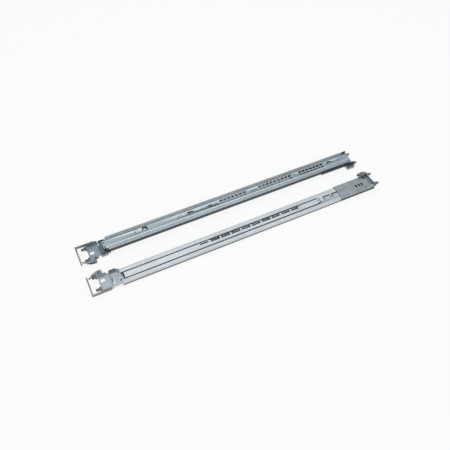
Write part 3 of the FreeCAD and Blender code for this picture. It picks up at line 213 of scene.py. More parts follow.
def painted_shoulder_highlight(tree, flat, colour, highlight):
    """Painted highlight on the corners turned to the near side and upwards."""
    way = add(tree, "ShaderNodeSeparateXYZ", Vector=flat)
    near = add(tree, "ShaderNodeMapRange", SMOOTH, Value=way.outputs[1], From_Min=0.1, From_Max=-0.25)
    above = add(tree, "ShaderNodeMapRange", SMOOTH, Value=way.outputs[2], From_Min=0.1, From_Max=0.3)
    highlit = add(tree, "ShaderNodeMath", TIMES, _0=near.outputs[0], _1=above.outputs[0])
    highlighted = add(tree, "ShaderNodeMix", COLOURS, _0=highlit.outputs[0], _6=colour, _7=from_hex(highlight))
    return highlighted.outputs[2]


def polished_and_highlit_edges(tree, edge, flat, colour):
    """Brighter plate on the sharp edges: partly polish from tumbling, partly a painted highlight."""
    turned = add(tree, "ShaderNodeVectorMath", {"operation": "DOT_PRODUCT"}, _0=edge, _1=flat)
    worn_and_highlit = add(tree, "ShaderNodeMapRange", SMOOTH, Value=turned.outputs["Value"],
               From_Min=0.99, From_Max=0.8, To_Min=0.0, To_Max=0.45)
    polished_and_highlit = add(tree, "ShaderNodeMix", COLOURS, _0=worn_and_highlit.outputs[0], _6=colour, _7=from_hex(EDGE_POLISH_AND_HIGHLIGHT))
    return polished_and_highlit.outputs[2]


def plated_steel(name, light, dark, roughness, grain_mm=0.8, cloud_mm=40.0,
                 race_shade=None, band=None, over=False, shoulder=None):
    """Zinc-plated strip: satin, with roll grain along the rail and faint clouds in the plating.
    The grain is drawn far coarser than the rolls leave it, so that it shows."""
    material, tree, out = new_finish(name)
    place = add(tree, "ShaderNodeTexCoord").outputs["Object"]
    fine = 1 / (grain_mm * MM)
    along = add(tree, "ShaderNodeMapping", Vector=place, Scale=(fine / 40, fine, fine))
    streaks = add(tree, "ShaderNodeTexNoise", Vector=along.outputs[0], Scale=1.0, Detail=4.0, Roughness=0.6)
    clouds = add(tree, "ShaderNodeTexNoise", Vector=place, Scale=1 / (cloud_mm * MM), Detail=5.0,
                 Roughness=0.55)
    streaked = add(tree, "ShaderNodeMath", TIMES, _0=streaks.outputs["Fac"], _1=0.45)
    clouded = add(tree, "ShaderNodeMath", TIMES, _0=clouds.outputs["Fac"], _1=0.6)
    mixed = add(tree, "ShaderNodeMath", {"operation": "ADD"}, _0=streaked.outputs[0], _1=clouded.outputs[0])
    tone = add(tree, "ShaderNodeMapRange", SMOOTH, Value=mixed.outputs[0], From_Min=0.35, From_Max=0.72)
    plate_mix = add(tree, "ShaderNodeMix", COLOURS, _0=tone.outputs[0], _6=from_hex(dark), _7=from_hex(light))
    colour = plate_mix.outputs[2]
    # A dark band of painted shade on the walls, between the given depths.
    if race_shade:
        colour = painted_race_shade(tree, place, colour, race_shade, band, over)
    edge = add(tree, "ShaderNodeBevel", {"samples": 4}, Radius=EDGE_RADIUS_MM * MM).outputs[0]
    flat = add(tree, "ShaderNodeNewGeometry").outputs["Normal"]
    # Painted highlight on the corners that face the near side and upwards.
    if shoulder:
        colour = painted_shoulder_highlight(tree, flat, colour, shoulder)
    # Edges brighter: partly polish, partly a painted highlight.
    colour = polished_and_highlit_edges(tree, edge, flat, colour)
    sheen = add(tree, "ShaderNodeMapRange", Value=streaks.outputs["Fac"],
                To_Min=roughness - 0.06, To_Max=roughness + 0.08)
    relief = add(tree, "ShaderNodeBump", Strength=0.25, Distance=0.03 * MM,
                 Height=streaks.outputs["Fac"], Normal=edge)
    steel = add(tree, "ShaderNodeBsdfPrincipled", Base_Color=colour, Metallic=1.0,
                Roughness=sheen.outputs[0], Normal=relief.outputs[0])
    tree.links.new(steel.outputs[0], out.inputs["Surface"])
    return material


def dress(side, material, *pieces):
    """Give CAD pieces of one rail their finish."""
    for piece in pieces:
        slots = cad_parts[side + "_" + piece].data.materials
        slots.clear()
        slots.append(material)


BEAD_STEPS = 6


def bead(bm, path, width, height, foot):
    """Half-round bead along a level path, with foot as the level it stands on; a height below
    zero turns it down."""
    rows = []
    for i, point in enumerate(path):
        run = (Vector(path[min(i + 1, len(path) - 1)]) - Vector(path[max(i - 1, 0)])).normalized()
        aside = Vector((-run.y, run.x))
        row = []
        for step in range(BEAD_STEPS + 1):
            angle = math.pi * step / BEAD_STEPS
            spot = Vector(point) + aside * (math.cos(angle) * width / 2)
            row.append(bm.verts.new((spot.x, spot.y, foot + math.sin(angle) * height)))
        rows.append(row)
    for first, second in zip(rows, rows[1:]):
        for step in range(BEAD_STEPS):
            bm.faces.new((first[step], second[step], second[step + 1], first[step + 1]))
        bm.faces.new((first[-1], second[-1], second[0], first[0]))
    bm.faces.new(rows[0])
    bm.faces.new(list(reversed(rows[-1])))


def slab(bm, outline, low, high):
    """Flat piece of sheet between two levels."""
    bottom = [bm.verts.new((x, y, low)) for x, y in outline]
    top = [bm.verts.new((x, y, high)) for x, y in outline]
    bm.faces.new(bottom)
    bm.faces.new(list(reversed(top)))
    for i in range(len(outline)):
        j = (i + 1) % len(outline)
        bm.faces.new((bottom[i], top[i], top[j], bottom[j]))


def plate(bm, along, across, levels):
    """Rectangular slab from its spans along, across and through the rail."""
    outline = [(along[0], across[0]), (along[1], across[0]), (along[1], across[1]), (along[0], across[1])]
    slab(bm, outline, *levels)


def make_piece(name, side, body, slot, material, draw, *stands_for):
    """Piece drawn in a rail's own millimetres, smooth but for its sharp corners. It rides on its
    body, or on none."""
    mesh = bpy.data.meshes.new(name)
    bm = bmesh.new()
    draw(bm)
    bmesh.ops.recalc_face_normals(bm, faces=bm.faces)
    bm.transform(rail_frame(side))
    for face in bm.faces:
        face.smooth = True
    bm.to_mesh(mesh)
    bm.free()
    mesh.set_sharp_from_angle(angle=math.radians(35))
    mesh.materials.append(material)
    piece = bpy.data.objects.new(side + "_" + name, mesh)
    bpy.context.collection.objects.link(piece)
    if body:
        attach(piece, body if body == "fixed_rails" else side + "_" + body)
    if stands_for:
        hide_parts(*(side + "_" + node for node in stands_for))
    return piece


def copy_of(bm, side, node):
    """Take a CAD node's mesh in the rail's own millimetres."""
    bm.from_mesh(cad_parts[side + "_" + node].data)
    bmesh.ops.remove_doubles(bm, verts=bm.verts, dist=1e-6)
    bm.transform(rail_frame(side).inverted())


# Corner centres of the rolled section, and how square the rolls leave the corners.
CORNER_Y = 13.5
CORNER_LOW = 13.0
CORNER_HIGH = 15.0
SQUARENESS = 5.0


def rolled_section(bm, side):
    """The member with the tight corners that the last rolls press in."""
    copy_of(bm, side, "outer_member")
    for vert in bm.verts:
        out_y = abs(vert.co.y) - CORNER_Y
        middle = CORNER_LOW if vert.co.z < CORNER_LOW else CORNER_HIGH
        out_z = abs(vert.co.z - middle)
        if out_y <= 0 or CORNER_LOW <= vert.co.z <= CORNER_HIGH:
            continue
        reach = math.hypot(out_y, out_z)
        across, down = out_y / reach, out_z / reach
        grow = (across ** SQUARENESS + down ** SQUARENESS) ** (-1 / SQUARENESS)
        vert.co.y = math.copysign(CORNER_Y + out_y * grow, vert.co.y)
        vert.co.z = middle + math.copysign(out_z * grow, vert.co.z - middle)


# Blue-passivated zinc reads cool and mid grey, clear bright zinc nearly white; the side walls
# carry a dark band of painted shade along the races.
OUTER_FINISH = {
    "left": plated_steel("blue_zinc_on_left_outer", "#B0BABF", "#9EA8AD", 0.36, race_shade="#4C5357",
                         band=(3.0, 13.0, 16.6, 20.0)),
    "right": plated_steel("bright_zinc_on_right_outer", "#DBE0E3", "#CBD0D4", 0.40, race_shade="#6D6863",
                          band=(11.5, 16.0, 19.0, 24.0), over=True),
}

for side in SIDES:
    make_piece("outer_member_rolled", side, "fixed_rails", "outer_steel", OUTER_FINISH[side],
               lambda bm: rolled_section(bm, side), "outer_member")

OUTER_WEB = 8.0
WINDOW_FRONT = 72.0
WINDOW_REAR = 553.0
WINDOW_HALF = 7.9
WINDOW_TURN = 4.0
TURN_STEPS = 8
RIM_WIDTH = 2.7
RIM_GAP = 0.8
RIM_SINK = 0.12
REAR_RIM_WIDTH = 1.2
REAR_RIM_GAP = 0.6

# Painted shade: a dull, nearly black finish for the thin beads laid along cut edges, slots
# and holes, so that they read as dark lines.
painted_shade_line = plated_steel("painted_shade_line_steel", "#1E2023", "#141517", 0.6, 0.4, 12.0)


def painted_shade_rim(bm):
    """Dark bead of painted shade along the lower and front edge of the window, thin again round its rear end.
    """
    low = WINDOW_HALF + RIM_GAP + RIM_WIDTH / 2
    front = WINDOW_FRONT - RIM_WIDTH / 2
    turn = WINDOW_REAR - WINDOW_TURN
    bead(bm, [(front, -WINDOW_HALF), (front, low), (turn, low)], RIM_WIDTH, -RIM_SINK, OUTER_WEB)
    radius = WINDOW_TURN + REAR_RIM_GAP
    rear = [(turn, low)]
    for step in range(1, TURN_STEPS + 1):
        angle = math.pi / 2 * (1 - step / TURN_STEPS)
        rear.append((turn + math.cos(angle) * radius, low - radius + math.sin(angle) * radius))
    rear.append((WINDOW_REAR + REAR_RIM_GAP, -WINDOW_HALF + WINDOW_TURN))
    bead(bm, rear, REAR_RIM_WIDTH, -RIM_SINK, OUTER_WEB)


TAPE_FRONT = 560.0
TAPE_REAR = 612.0
TAPE_HALF = 6.5
TAPE_CLIP = 1.5
TAPE_LEVEL = 9.43
TAPE_HALF_THICKNESS = 0.02
TAPE_RIB_MM = 2.0

# Painted shade: a black sheet inside the web behind the small slots, matt and faintly ribbed, so
# the slots read black. The ribs are drawn coarse.
painted_shade_tape, tree, out = new_finish("black_painted_shade_tape")
place = add(tree, "ShaderNodeTexCoord").outputs["Object"]
ribs = add(tree, "ShaderNodeTexWave", Vector=place, Scale=1 / (TAPE_RIB_MM * MM), Distortion=1.0,
           Detail=2.0)
share = add(tree, "ShaderNodeMath", TIMES, _0=ribs.outputs["Fac"], _1=0.5)
tone = add(tree, "ShaderNodeMix", COLOURS, _0=share.outputs[0],
           _6=from_hex("#17181A"), _7=from_hex("#26282B"))
painted_shade = add(tree, "ShaderNodeBsdfPrincipled", Base_Color=tone.outputs[2], Roughness=0.6)
tree.links.new(painted_shade.outputs[0], out.inputs["Surface"])


def shade_sheet(bm):
    """Sheet of painted shade with clipped corners."""
    front, rear, half = TAPE_FRONT, TAPE_REAR, TAPE_HALF
    outline = [(front + TAPE_CLIP, -half), (rear - TAPE_CLIP, -half), (rear, TAPE_CLIP - half),
               (rear, half - TAPE_CLIP), (rear - TAPE_CLIP, half), (front + TAPE_CLIP, half),
               (front, half - TAPE_CLIP), (front, TAPE_CLIP - half)]
    slab(bm, outline, TAPE_LEVEL - TAPE_HALF_THICKNESS, TAPE_LEVEL + TAPE_HALF_THICKNESS)


TONGUES = (563.6, 587.0)
TONGUE_LENGTH = 20.0
TONGUE_HALF = 4.0
TONGUE_INSET = 1.0
TONGUE_SLOT_WIDTH = 2.8


def tongue_slot_shade(bm):
    """Dark beads of painted shade along the slots that free the two spring tongues, open towards the front
    bend.
    """
    for start in TONGUES:
        front, rear = start + TONGUE_INSET, start + TONGUE_LENGTH - TONGUE_INSET
        path = [(front, TONGUE_HALF), (front, -TONGUE_HALF), (rear, -TONGUE_HALF), (rear, TONGUE_HALF)]
        bead(bm, path, TONGUE_SLOT_WIDTH, -RIM_SINK, OUTER_WEB)


SHIELD_ALONG = (47.6, 49.95)
SHIELD_ACROSS = (-12.0, 9.0)
SHIELD_LEVELS = (OUTER_WEB + 0.02, OUTER_WEB + 0.15)


def gap_shade_sheet(bm):
    """Dark sheet of painted shade across the gap between the bracket's release slot and the member's front
    edge.
    """
    plate(bm, SHIELD_ALONG, SHIELD_ACROSS, SHIELD_LEVELS)


for side in SIDES:
    make_piece("painted_shade_rim", side, "fixed_rails", "outer_steel", painted_shade_line, painted_shade_rim)
    make_piece("painted_shade_tape", side, "fixed_rails", "black_plastic", painted_shade_tape, shade_sheet)
    make_piece("tongue_slot_shade", side, "fixed_rails", "outer_steel", painted_shade_line, tongue_slot_shade)
    make_piece("gap_shade_sheet", side, "fixed_rails", "black_plastic", painted_shade_tape, gap_shade_sheet)


# ---- Front brackets ----------------------------------------------------------------------------
# Folded zinc-plated steel: the flange behind the rack post, a web riveted to the outer member
# and a side wall for the guard. The press leaves a soft satin plate, blue-grey on the left rail
# and brighter on the right.

satin_blue = plated_steel("satin_blue_zinc_bracket", "#A2AFB7", "#87949D", 0.42, 0.6, 18.0)
satin_bright = plated_steel("satin_bright_zinc_bracket", "#C0C9CE", "#A9B2B8", 0.42, 0.6, 18.0)
dress("left", satin_blue, "front_bracket")
dress("right", satin_bright, "front_bracket")


# ---- Guards ------------------------------------------------------------------------------------
# The bar in front of the rack post and the arm that carries it, folded from one strip, zinc
# plated and satin. Two yellow-passivated rivets hold the arm to the bracket's side wall.

X_AXIS, Y_AXIS, Z_AXIS = 0, 1, 2
ROUND_FLATS = 32

# A crowned end: how far down and how far out its two rings stand, as shares of crown and radius.
CROWN_TOP = 0.6
CROWN_DROP = 0.35
CROWN_WAIST = 0.88


def solids_of(side, node):
    """Corner points of each solid of a CAD node, in the rail's own millimetres."""
    bm = bmesh.new()
    copy_of(bm, side, node)
    left_over = set(bm.verts)
    solids = []
    while left_over:
        front = [left_over.pop()]
        points = []
        while front:
            vert = front.pop()
            points.append(vert.co.copy())
            near = {edge.other_vert(vert) for edge in vert.link_edges} & left_over
            left_over -= near
            front.extend(near)
        solids.append(points)
    bm.free()
    return solids


def extent(points):
    """Lowest corner, highest corner and middle of a solid's points."""
    low = [min(p[i] for p in points) for i in range(3)]
    high = [max(p[i] for p in points) for i in range(3)]
    return low, high, [(low[i] + high[i]) / 2 for i in range(3)]


def turned_solid(bm, centre, axis, rings):
    """Turned solid: rings of (level along the axis, radius) about a centre."""
    a, b = [i for i in range(3) if i != axis]
    rows = []
    for level, radius in rings:
        row = []
        for i in range(ROUND_FLATS):
            angle = 2 * math.pi * i / ROUND_FLATS
            spot = [0.0, 0.0, 0.0]
            spot[axis] = level
            spot[a] = centre[a] + radius * math.cos(angle)
            spot[b] = centre[b] + radius * math.sin(angle)
            row.append(bm.verts.new(spot))
        rows.append(row)
    for first, second in zip(rows, rows[1:]):
        for i in range(ROUND_FLATS):
            j = (i + 1) % ROUND_FLATS
            bm.faces.new((first[i], second[i], second[j], first[j]))
    bm.faces.new(list(reversed(rows[0])))
    bm.faces.new(rows[-1])


def stepped_rings(points, centre, axis):
    """Rings of a many-sided solid that steps in and out along its axis, from end to end."""
    a, b = [i for i in range(3) if i != axis]
    levels = {}
    for p in points:
        radius = math.hypot(p[a] - centre[a], p[b] - centre[b])
        levels.setdefault(round(p[axis], 2), set()).add(round(radius, 2))
    rings = []
    for level in sorted(levels):
        radii = sorted(levels[level], key=lambda r: abs(r - rings[-1][1]) if rings else r)
        for radius in ([radii[0], radii[-1]] if len(radii) > 1 else radii):
            rings.append((level, radius))
    return rings


def turned_from(bm, points, axis, crown):
    """Round piece with the lengths and radii of a many-sided solid, its ends crowned."""
    centre = extent(points)[2]
    rings = stepped_rings(points, centre, axis)
    (low, low_radius), (high, high_radius) = rings[0], rings[-1]
    foot = [(low, low_radius * CROWN_TOP), (low + crown * CROWN_DROP, low_radius * CROWN_WAIST),
            (low + crown, low_radius)]
    head = [(high - crown, high_radius), (high - crown * CROWN_DROP, high_radius * CROWN_WAIST),
            (high, high_radius * CROWN_TOP)]
    turned_solid(bm, centre, axis, foot + rings[1:-1] + head)


def turned_pieces(name, side, body, slot, material, axis, crown=0.3):
    """Round pieces in place of the many-sided solids of a CAD node."""
    groups = solids_of(side, name)

    def draw(bm):
        for points in groups:
            turned_from(bm, points, axis, crown)

    make_piece(name + "_turned", side, body, slot, material, draw, name)


def eased_piece(name, side, body, slot, material, ease, steps=3):
    """CAD piece with its folded corners eased, as the press leaves them."""
    def draw(bm):
        copy_of(bm, side, name)
        bmesh.ops.dissolve_limit(bm, angle_limit=math.radians(1), verts=bm.verts, edges=bm.edges)
        sharp = [edge for edge in bm.edges
                 if len(edge.link_faces) == 2 and edge.calc_face_angle() > math.radians(50)]
        bmesh.ops.bevel(bm, geom=sharp, offset=ease, segments=steps, profile=0.5, affect="EDGES",
                        clamp_overlap=True)

    make_piece(name + "_eased", side, body, slot, material, draw, name)


# Satin zinc gives the guard a neutral mid grey, and yellow chromate its rivets a brassy tint.
satin_zinc = plated_steel("satin_zinc_guard", "#A2A4A3", "#868887", 0.42, 0.6, 14.0)
chromate = plated_steel("yellow_chromate_rivet", "#B0A05E", "#8D7B42", 0.35, 0.4, 6.0)
for side in SIDES:
    eased_piece("front_guard", side, "fixed_rails", "guard_steel", satin_zinc, 0.35)
    turned_pieces("front_guard_rivets", side, "fixed_rails", "passivated_rivet", chromate, Y_AXIS)


# ---- Pegs --------------------------------------------------------------------------------------
# Turned steel pegs that enter the square holes of the rack's posts: a square shoulder pressed
# through the flange, a round shank and a rounded tip. Zinc over a turned surface, fairly dark.

PEG_RADII = {"front_pegs": 3.1, "rear_pegs": 2.9}
PEG_BODIES = {"front_pegs": ("fixed_rails", -1), "rear_pegs": ("rear_bracket", 1)}
SHOULDER_LENGTH = 5.4
SHOULDER_WIDTH = 8.0
SHOULDER_HEIGHT = 6.4
SHOULDER_EASE = 0.5
GROOVE_DEPTH = 0.35
GROOVE_START = -0.2
GROOVE_END = 0.5
GROOVE_FADE = 0.8
# Rings of the rounded tip: how far back from the end, and how far in from the shank.
TIP_RINGS = ((1.6, 0.0), (0.9, 0.25), (0.4, 0.75), (0.1, 1.35), (0.0, 1.9))

turned_zinc = plated_steel("turned_zinc_peg", "#85888A", "#5E6163", 0.33, 0.25, 6.0)


def peg_shoulder(bm, root, shoulder, centre):
    """Square shoulder with eased corners."""
    made = bmesh.ops.create_cube(bm, size=1.0)["verts"]
    for vert in made:
        vert.co.x = (root + shoulder) / 2 + vert.co.x * SHOULDER_LENGTH
        vert.co.y = centre[1] + vert.co.y * SHOULDER_WIDTH
        vert.co.z = centre[2] + vert.co.z * SHOULDER_HEIGHT
    edges = {edge for vert in made for edge in vert.link_edges}
    bmesh.ops.bevel(bm, geom=list(edges), offset=SHOULDER_EASE, segments=2, profile=0.5, affect="EDGES")


def draw_peg(bm, points, direction, radius):
    """Shoulder, shank with a groove at its root, and rounded tip."""
    low, high, centre = extent(points)
    root, tip = (high[0], low[0]) if direction < 0 else (low[0], high[0])
    shoulder = root + direction * SHOULDER_LENGTH
    peg_shoulder(bm, root, shoulder, centre)
    rings = [(shoulder + direction * GROOVE_START, radius - GROOVE_DEPTH),
             (shoulder + direction * GROOVE_END, radius - GROOVE_DEPTH),
             (shoulder + direction * GROOVE_FADE, radius)]
    rings += [(tip - direction * back, radius - inset) for back, inset in TIP_RINGS]
    turned_solid(bm, centre, X_AXIS, rings)


def draw_pegs(bm, side, node, direction):
    """Both pegs of one end."""
    for points in solids_of(side, node):
        draw_peg(bm, points, direction, PEG_RADII[node])


for side in SIDES:
    for node, (body, direction) in PEG_BODIES.items():
        make_piece(node + "_turned", side, body, "peg_steel", turned_zinc,
                   lambda bm: draw_pegs(bm, side, node, direction), node)


# ---- Rivets and pins ---------------------------------------------------------------------------
# Cold-headed steel with low crowned heads: rivets join the brackets, the bar and the guides to
# their members, pins carry the levers. The rivets are dull zinc, the pins oiled and darker.

headed_zinc = plated_steel("cold_headed_zinc_rivet", "#8E9294", "#6E7274", 0.38, 0.4, 5.0)
oiled_pin = plated_steel("oiled_steel_pin", "#6C6F70", "#54575A", 0.3, 0.3, 5.0)
for side in SIDES:
    turned_pieces("fixed_rivets", side, "fixed_rails", "rivet_steel", headed_zinc, Z_AXIS)
    turned_pieces("rear_rivets", side, "rear_bracket", "rivet_steel", headed_zinc, Z_AXIS, 0.2)
    turned_pieces("release_slide_rivets", side, "fixed_rails", "rivet_steel", headed_zinc, Z_AXIS)
    turned_pieces("front_latch_pin", side, "fixed_rails", "rivet_steel", oiled_pin, Z_AXIS)
    turned_pieces("rear_latch_pin", side, "rear_bracket", "rivet_steel", oiled_pin, Z_AXIS)


# ---- Bumpers and bar glide ---------------------------------------------------------------------
# Moulded black acetal: two bumpers stop the members when they close, and a glide pressed on the
# bar keeps it off the web. Matt from the mould, with a trace of flow lines.

FLOW_MM = 2.2
SKIN_MM = 0.25

moulded_acetal, tree, out = new_finish("moulded_black_acetal")
place = add(tree, "ShaderNodeTexCoord").outputs["Object"]
flow = add(tree, "ShaderNodeTexNoise", Vector=place, Scale=1 / (FLOW_MM * MM), Detail=4.0, Distortion=1.5)
skin = add(tree, "ShaderNodeTexNoise", Vector=place, Scale=1 / (SKIN_MM * MM), Detail=2.0)
tone = add(tree, "ShaderNodeMix", COLOURS, _0=flow.outputs["Fac"],
           _6=from_hex("#1C1D1F"), _7=from_hex("#2D2E31"))
matt = add(tree, "ShaderNodeMapRange", Value=flow.outputs["Fac"], To_Min=0.42, To_Max=0.58)
relief = add(tree, "ShaderNodeBump", Strength=0.2, Distance=0.02 * MM, Height=skin.outputs["Fac"])
plastic = add(tree, "ShaderNodeBsdfPrincipled", Base_Color=tone.outputs[2], Roughness=matt.outputs[0],
              IOR=1.48, Normal=relief.outputs["Normal"])
tree.links.new(plastic.outputs[0], out.inputs["Surface"])
for side in SIDES:
    eased_piece("closing_bumpers", side, "fixed_rails", "black_plastic", moulded_acetal, 0.4)
    eased_piece("bar_glide", side, "rear_bracket", "black_plastic", moulded_acetal, 0.12, 2)


# ---- Levers and their springs ------------------------------------------------------------------
# A front lever folded into a box handle with a hooked finger, and a rounded rear one, both satin
# zinc, slightly warm from the passivation. Blued spring strip, dark with a blue cast, presses
# them outwards.

lever_zinc = plated_steel("satin_zinc_lever", "#ABACA9", "#8B8C89", 0.42, 0.5, 10.0)
warm_lever = plated_steel("warm_passivated_lever", "#B3B2AA", "#908F86", 0.38, 0.5, 8.0)
spring_blue = plated_steel("blued_spring_strip", "#5A5E66", "#41444A", 0.32, 0.4, 8.0)

# Where each leaf is held, and where it meets its lever.
FRONT_SPRING = ((38.4, -19.0, 4.4), (33.2, -19.5, 4.4))
REAR_SPRING = ((682.5, -19.0, 3.6), (677.0, -22.0, 3.6))
LEAF_STEP = 1.5


def bent_spring(name, side, held_by, moved_by, held, moved):
    """Leaf spring, riveted at one end, cut into short edges and left on no body."""
    def draw(bm):
        copy_of(bm, side, name)
        for _ in range(2):
            long = [edge for edge in bm.edges if edge.calc_length() > LEAF_STEP]
            bmesh.ops.subdivide_edges(bm, edges=long, cuts=1)
        bmesh.ops.triangulate(bm, faces=bm.faces)

    spring = make_piece(name + "_leaf", side, None, "spring_steel", spring_blue, draw, name)
    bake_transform(spring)


for side in SIDES:
    eased_piece("front_latch_lever", side, "front_latch", "latch_steel", lever_zinc, 0.3)
    eased_piece("rear_latch_lever", side, "rear_latch", "latch_steel", warm_lever, 1.1, 4)
    bent_spring("front_latch_spring", side, "fixed_rails", "front_latch", *FRONT_SPRING)
    bent_spring("rear_latch_spring", side, "rear_bracket", "rear_latch", *REAR_SPRING)


# ---- Release slides ----------------------------------------------------------------------------
# A folded tab on a small plate of the lever's satin zinc. It runs along two guide rivets and
# frees the front lever.

for side in SIDES:
    eased_piece("release_slide", side, "release", "latch_steel", lever_zinc, 0.3)


# ---- Rear brackets -----------------------------------------------------------------------------
# Folded round the outer member, so the rail's depth can be set, with the rear flange and its
# pegs. Blue-grey satin zinc, with a band of painted shade along its walls.

REAR_WALLS = (7.4, 10.5, 30.0, 31.0)
REAR_FACE = 6.3
REAR_BACK = 7.7
CREASES = (675.0, 682.0)
CREASE_HALF = 12.5
CREASE_WIDTH = 1.1
CREASE_DEPTH = 0.3
STRIP_ALONG = (650.5, 673.0)
STRIP_ACROSS = (-7.2, -2.6)
STRIP_LEVELS = (REAR_FACE - 0.25, REAR_FACE + 0.3)
CATCH_PAD = ((651.0, 673.5), (-7.0, 7.0))
HOOK_PAD = ((680.5, 688.5), (-17.2, -9.2))
PAD_LEVELS = (REAR_BACK + 0.05, REAR_BACK + 0.2)

# The dark race colours here are painted shade along the walls.
rear_satin = {
    "left": plated_steel("satin_zinc_on_left_rear", "#9FAAB1", "#868F96", 0.42, 0.6, 16.0,
                         race_shade="#3C4347", band=REAR_WALLS),
    "right": plated_steel("satin_zinc_on_right_rear", "#B3BBC0", "#98A1A7", 0.42, 0.6, 16.0,
                          race_shade="#4B4F50", band=REAR_WALLS, over=True),
}


def rear_creases(bm):
    """Two press creases across the web in front of the rear flange."""
    for x in CREASES:
        bead(bm, [(x, -CREASE_HALF), (x, CREASE_HALF)], CREASE_WIDTH, -CREASE_DEPTH, REAR_FACE)


def catch_shade_pads(bm):
    """Black pads of painted shade behind the spring catches and behind the hook's hole."""
    for along, across in (CATCH_PAD, HOOK_PAD):
        plate(bm, along, across, PAD_LEVELS)


def catch_strip(bm):
    """Strip that the catches are hinged on, level with the bracket's web."""
    plate(bm, STRIP_ALONG, STRIP_ACROSS, STRIP_LEVELS)


for side in SIDES:
    dress(side, rear_satin[side], "rear_bracket")
    make_piece("rear_creases", side, "rear_bracket", "bracket_steel", rear_satin[side], rear_creases)
    make_piece("catch_shade_pads", side, "rear_bracket", "black_plastic", painted_shade_tape, catch_shade_pads)
    make_piece("catch_strip", side, "rear_bracket", "bracket_steel", rear_satin[side], catch_strip)


# ---- Extension bars ----------------------------------------------------------------------------
# Thin strip riveted to the rear bracket's foot. It slides in the outer member's window, and its
# slots index the rail's depth. Clear bright zinc, nearly white.

BAR_FRONT = 76.0
BAR_REAR = 553.0
BAR_FACE = 9.6
ROLL_END = 5.0
ROLL_LINE = -6.5
ROLL_WIDTH = 1.4
ROLL_SINK = 0.06
FLANGE_END = 6.0
FLANGE_ACROSS = (5.1, 7.6)
FLANGE_LEVELS = (BAR_FACE + 0.02, BAR_FACE + 0.9)

bar_zinc = plated_steel("bright_zinc_bar", "#DEE3E7", "#CDD3D8", 0.38)


def bar_shade_line(bm):
    """Dark bead of painted shade along the bar's upper edge."""
    bead(bm, [(BAR_FRONT, ROLL_LINE), (BAR_REAR - ROLL_END, ROLL_LINE)], ROLL_WIDTH, -ROLL_SINK, BAR_FACE)


def bar_flange(bm):
    """Level flange along the bar's lower edge, just inside the window."""
    plate(bm, (BAR_FRONT, BAR_REAR - FLANGE_END), FLANGE_ACROSS, FLANGE_LEVELS)


for side in SIDES:
    dress(side, bar_zinc, "extension_bar")
    make_piece("bar_shade_line", side, "rear_bracket", "bar_steel", painted_shade_line, bar_shade_line)
    make_piece("bar_flange", side, "rear_bracket", "bar_steel", bar_zinc, bar_flange)


# ---- Intermediate members ----------------------------------------------------------------------
# Roll-formed strip between the two ball races. The races are polished bright by the balls, and
# the web carries black painted shade that shows through the vents.

BRUSH_LENGTH_MM = 20.0
BRUSH_WIDTH_MM = 0.667

# Brush marks, far coarser than real ones, break up the black painted shade and the bright race.
raced_strip, tree, out = new_finish("race_and_painted_shade_strip")
place = add(tree, "ShaderNodeTexCoord").outputs["Object"]
flat = add(tree, "ShaderNodeNewGeometry").outputs["Normal"]
way = add(tree, "ShaderNodeSeparateXYZ", Vector=flat)
upright = add(tree, "ShaderNodeMath", {"operation": "ABSOLUTE"}, _0=way.outputs[2])
brush = (1 / (BRUSH_LENGTH_MM * MM), 1 / (BRUSH_WIDTH_MM * MM), 1 / (BRUSH_WIDTH_MM * MM))
along = add(tree, "ShaderNodeMapping", Vector=place, Scale=brush)
brushed = add(tree, "ShaderNodeTexNoise", Vector=along.outputs[0], Scale=1.0, Detail=4.0).outputs["Fac"]
# Faces that lie flat get black painted shade; upright ones stay bright.
level = add(tree, "ShaderNodeMapRange", SMOOTH, Value=upright.outputs[0], From_Min=0.6, From_Max=0.9)
painted_shade = level.outputs[0]
painted_shade_tone = add(tree, "ShaderNodeMix", COLOURS, _0=brushed, _6=from_hex("#111315"), _7=from_hex("#212427"))
polished = add(tree, "ShaderNodeMix", COLOURS, _0=brushed, _6=from_hex("#EEF1F3"), _7=from_hex("#FFFFFF"))
tone = add(tree, "ShaderNodeMix", COLOURS, _0=painted_shade, _6=polished.outputs[2], _7=painted_shade_tone.outputs[2])
metal = add(tree, "ShaderNodeMath", LESS, _0=1.0, _1=painted_shade)
shine = add(tree, "ShaderNodeMapRange", Value=painted_shade, To_Min=0.3, To_Max=0.6)
strip = add(tree, "ShaderNodeBsdfPrincipled", Base_Color=tone.outputs[2], Metallic=metal.outputs[0],
            Roughness=shine.outputs[0])
tree.links.new(strip.outputs[0], out.inputs["Surface"])

MIDDLE_ALONG = (62.0, 676.5)
MIDDLE_LIP = (11.0, 13.1)
MIDDLE_LIP_LEVELS = (18.0, 18.2)

lip_zinc = plated_steel("bright_zinc_lip", "#E9EDF0", "#D7DCE0", 0.45)


def middle_lips(bm):
    """Lips that close the inner race from above, on both sides."""
    for way in (-1, 1):
        plate(bm, MIDDLE_ALONG, [way * y for y in MIDDLE_LIP], MIDDLE_LIP_LEVELS)


for side in SIDES:
    dress(side, raced_strip, "intermediate_member")
    make_piece("middle_lips", side, "intermediate", "middle_steel", lip_zinc, middle_lips)


# ---- Ball retainers and balls ------------------------------------------------------------------
# Pressed strip cages, bright zinc, hold the ground bearing balls of both races at their spacing.
# The balls are the smoothest metal here and mirror what is round them.

BALL_RADII = {"outer_balls": 1.5, "inner_balls": 1.35}

cage_strip = plated_steel("bright_cage_strip", "#F2F4F5", "#DDE0E2", 0.3, 0.5)
bearing_steel = plated_steel("polished_bearing_ball", "#E8EAEC", "#D2D5D8", 0.12, 0.5, 3.0)


def draw_balls(bm, side, node):
    """Round balls in place of the many-sided ones."""
    for points in solids_of(side, node):
        centre = sum(points, Vector()) / len(points)
        bmesh.ops.create_icosphere(bm, subdivisions=3, radius=BALL_RADII[node],
                                   matrix=Matrix.Translation(centre))


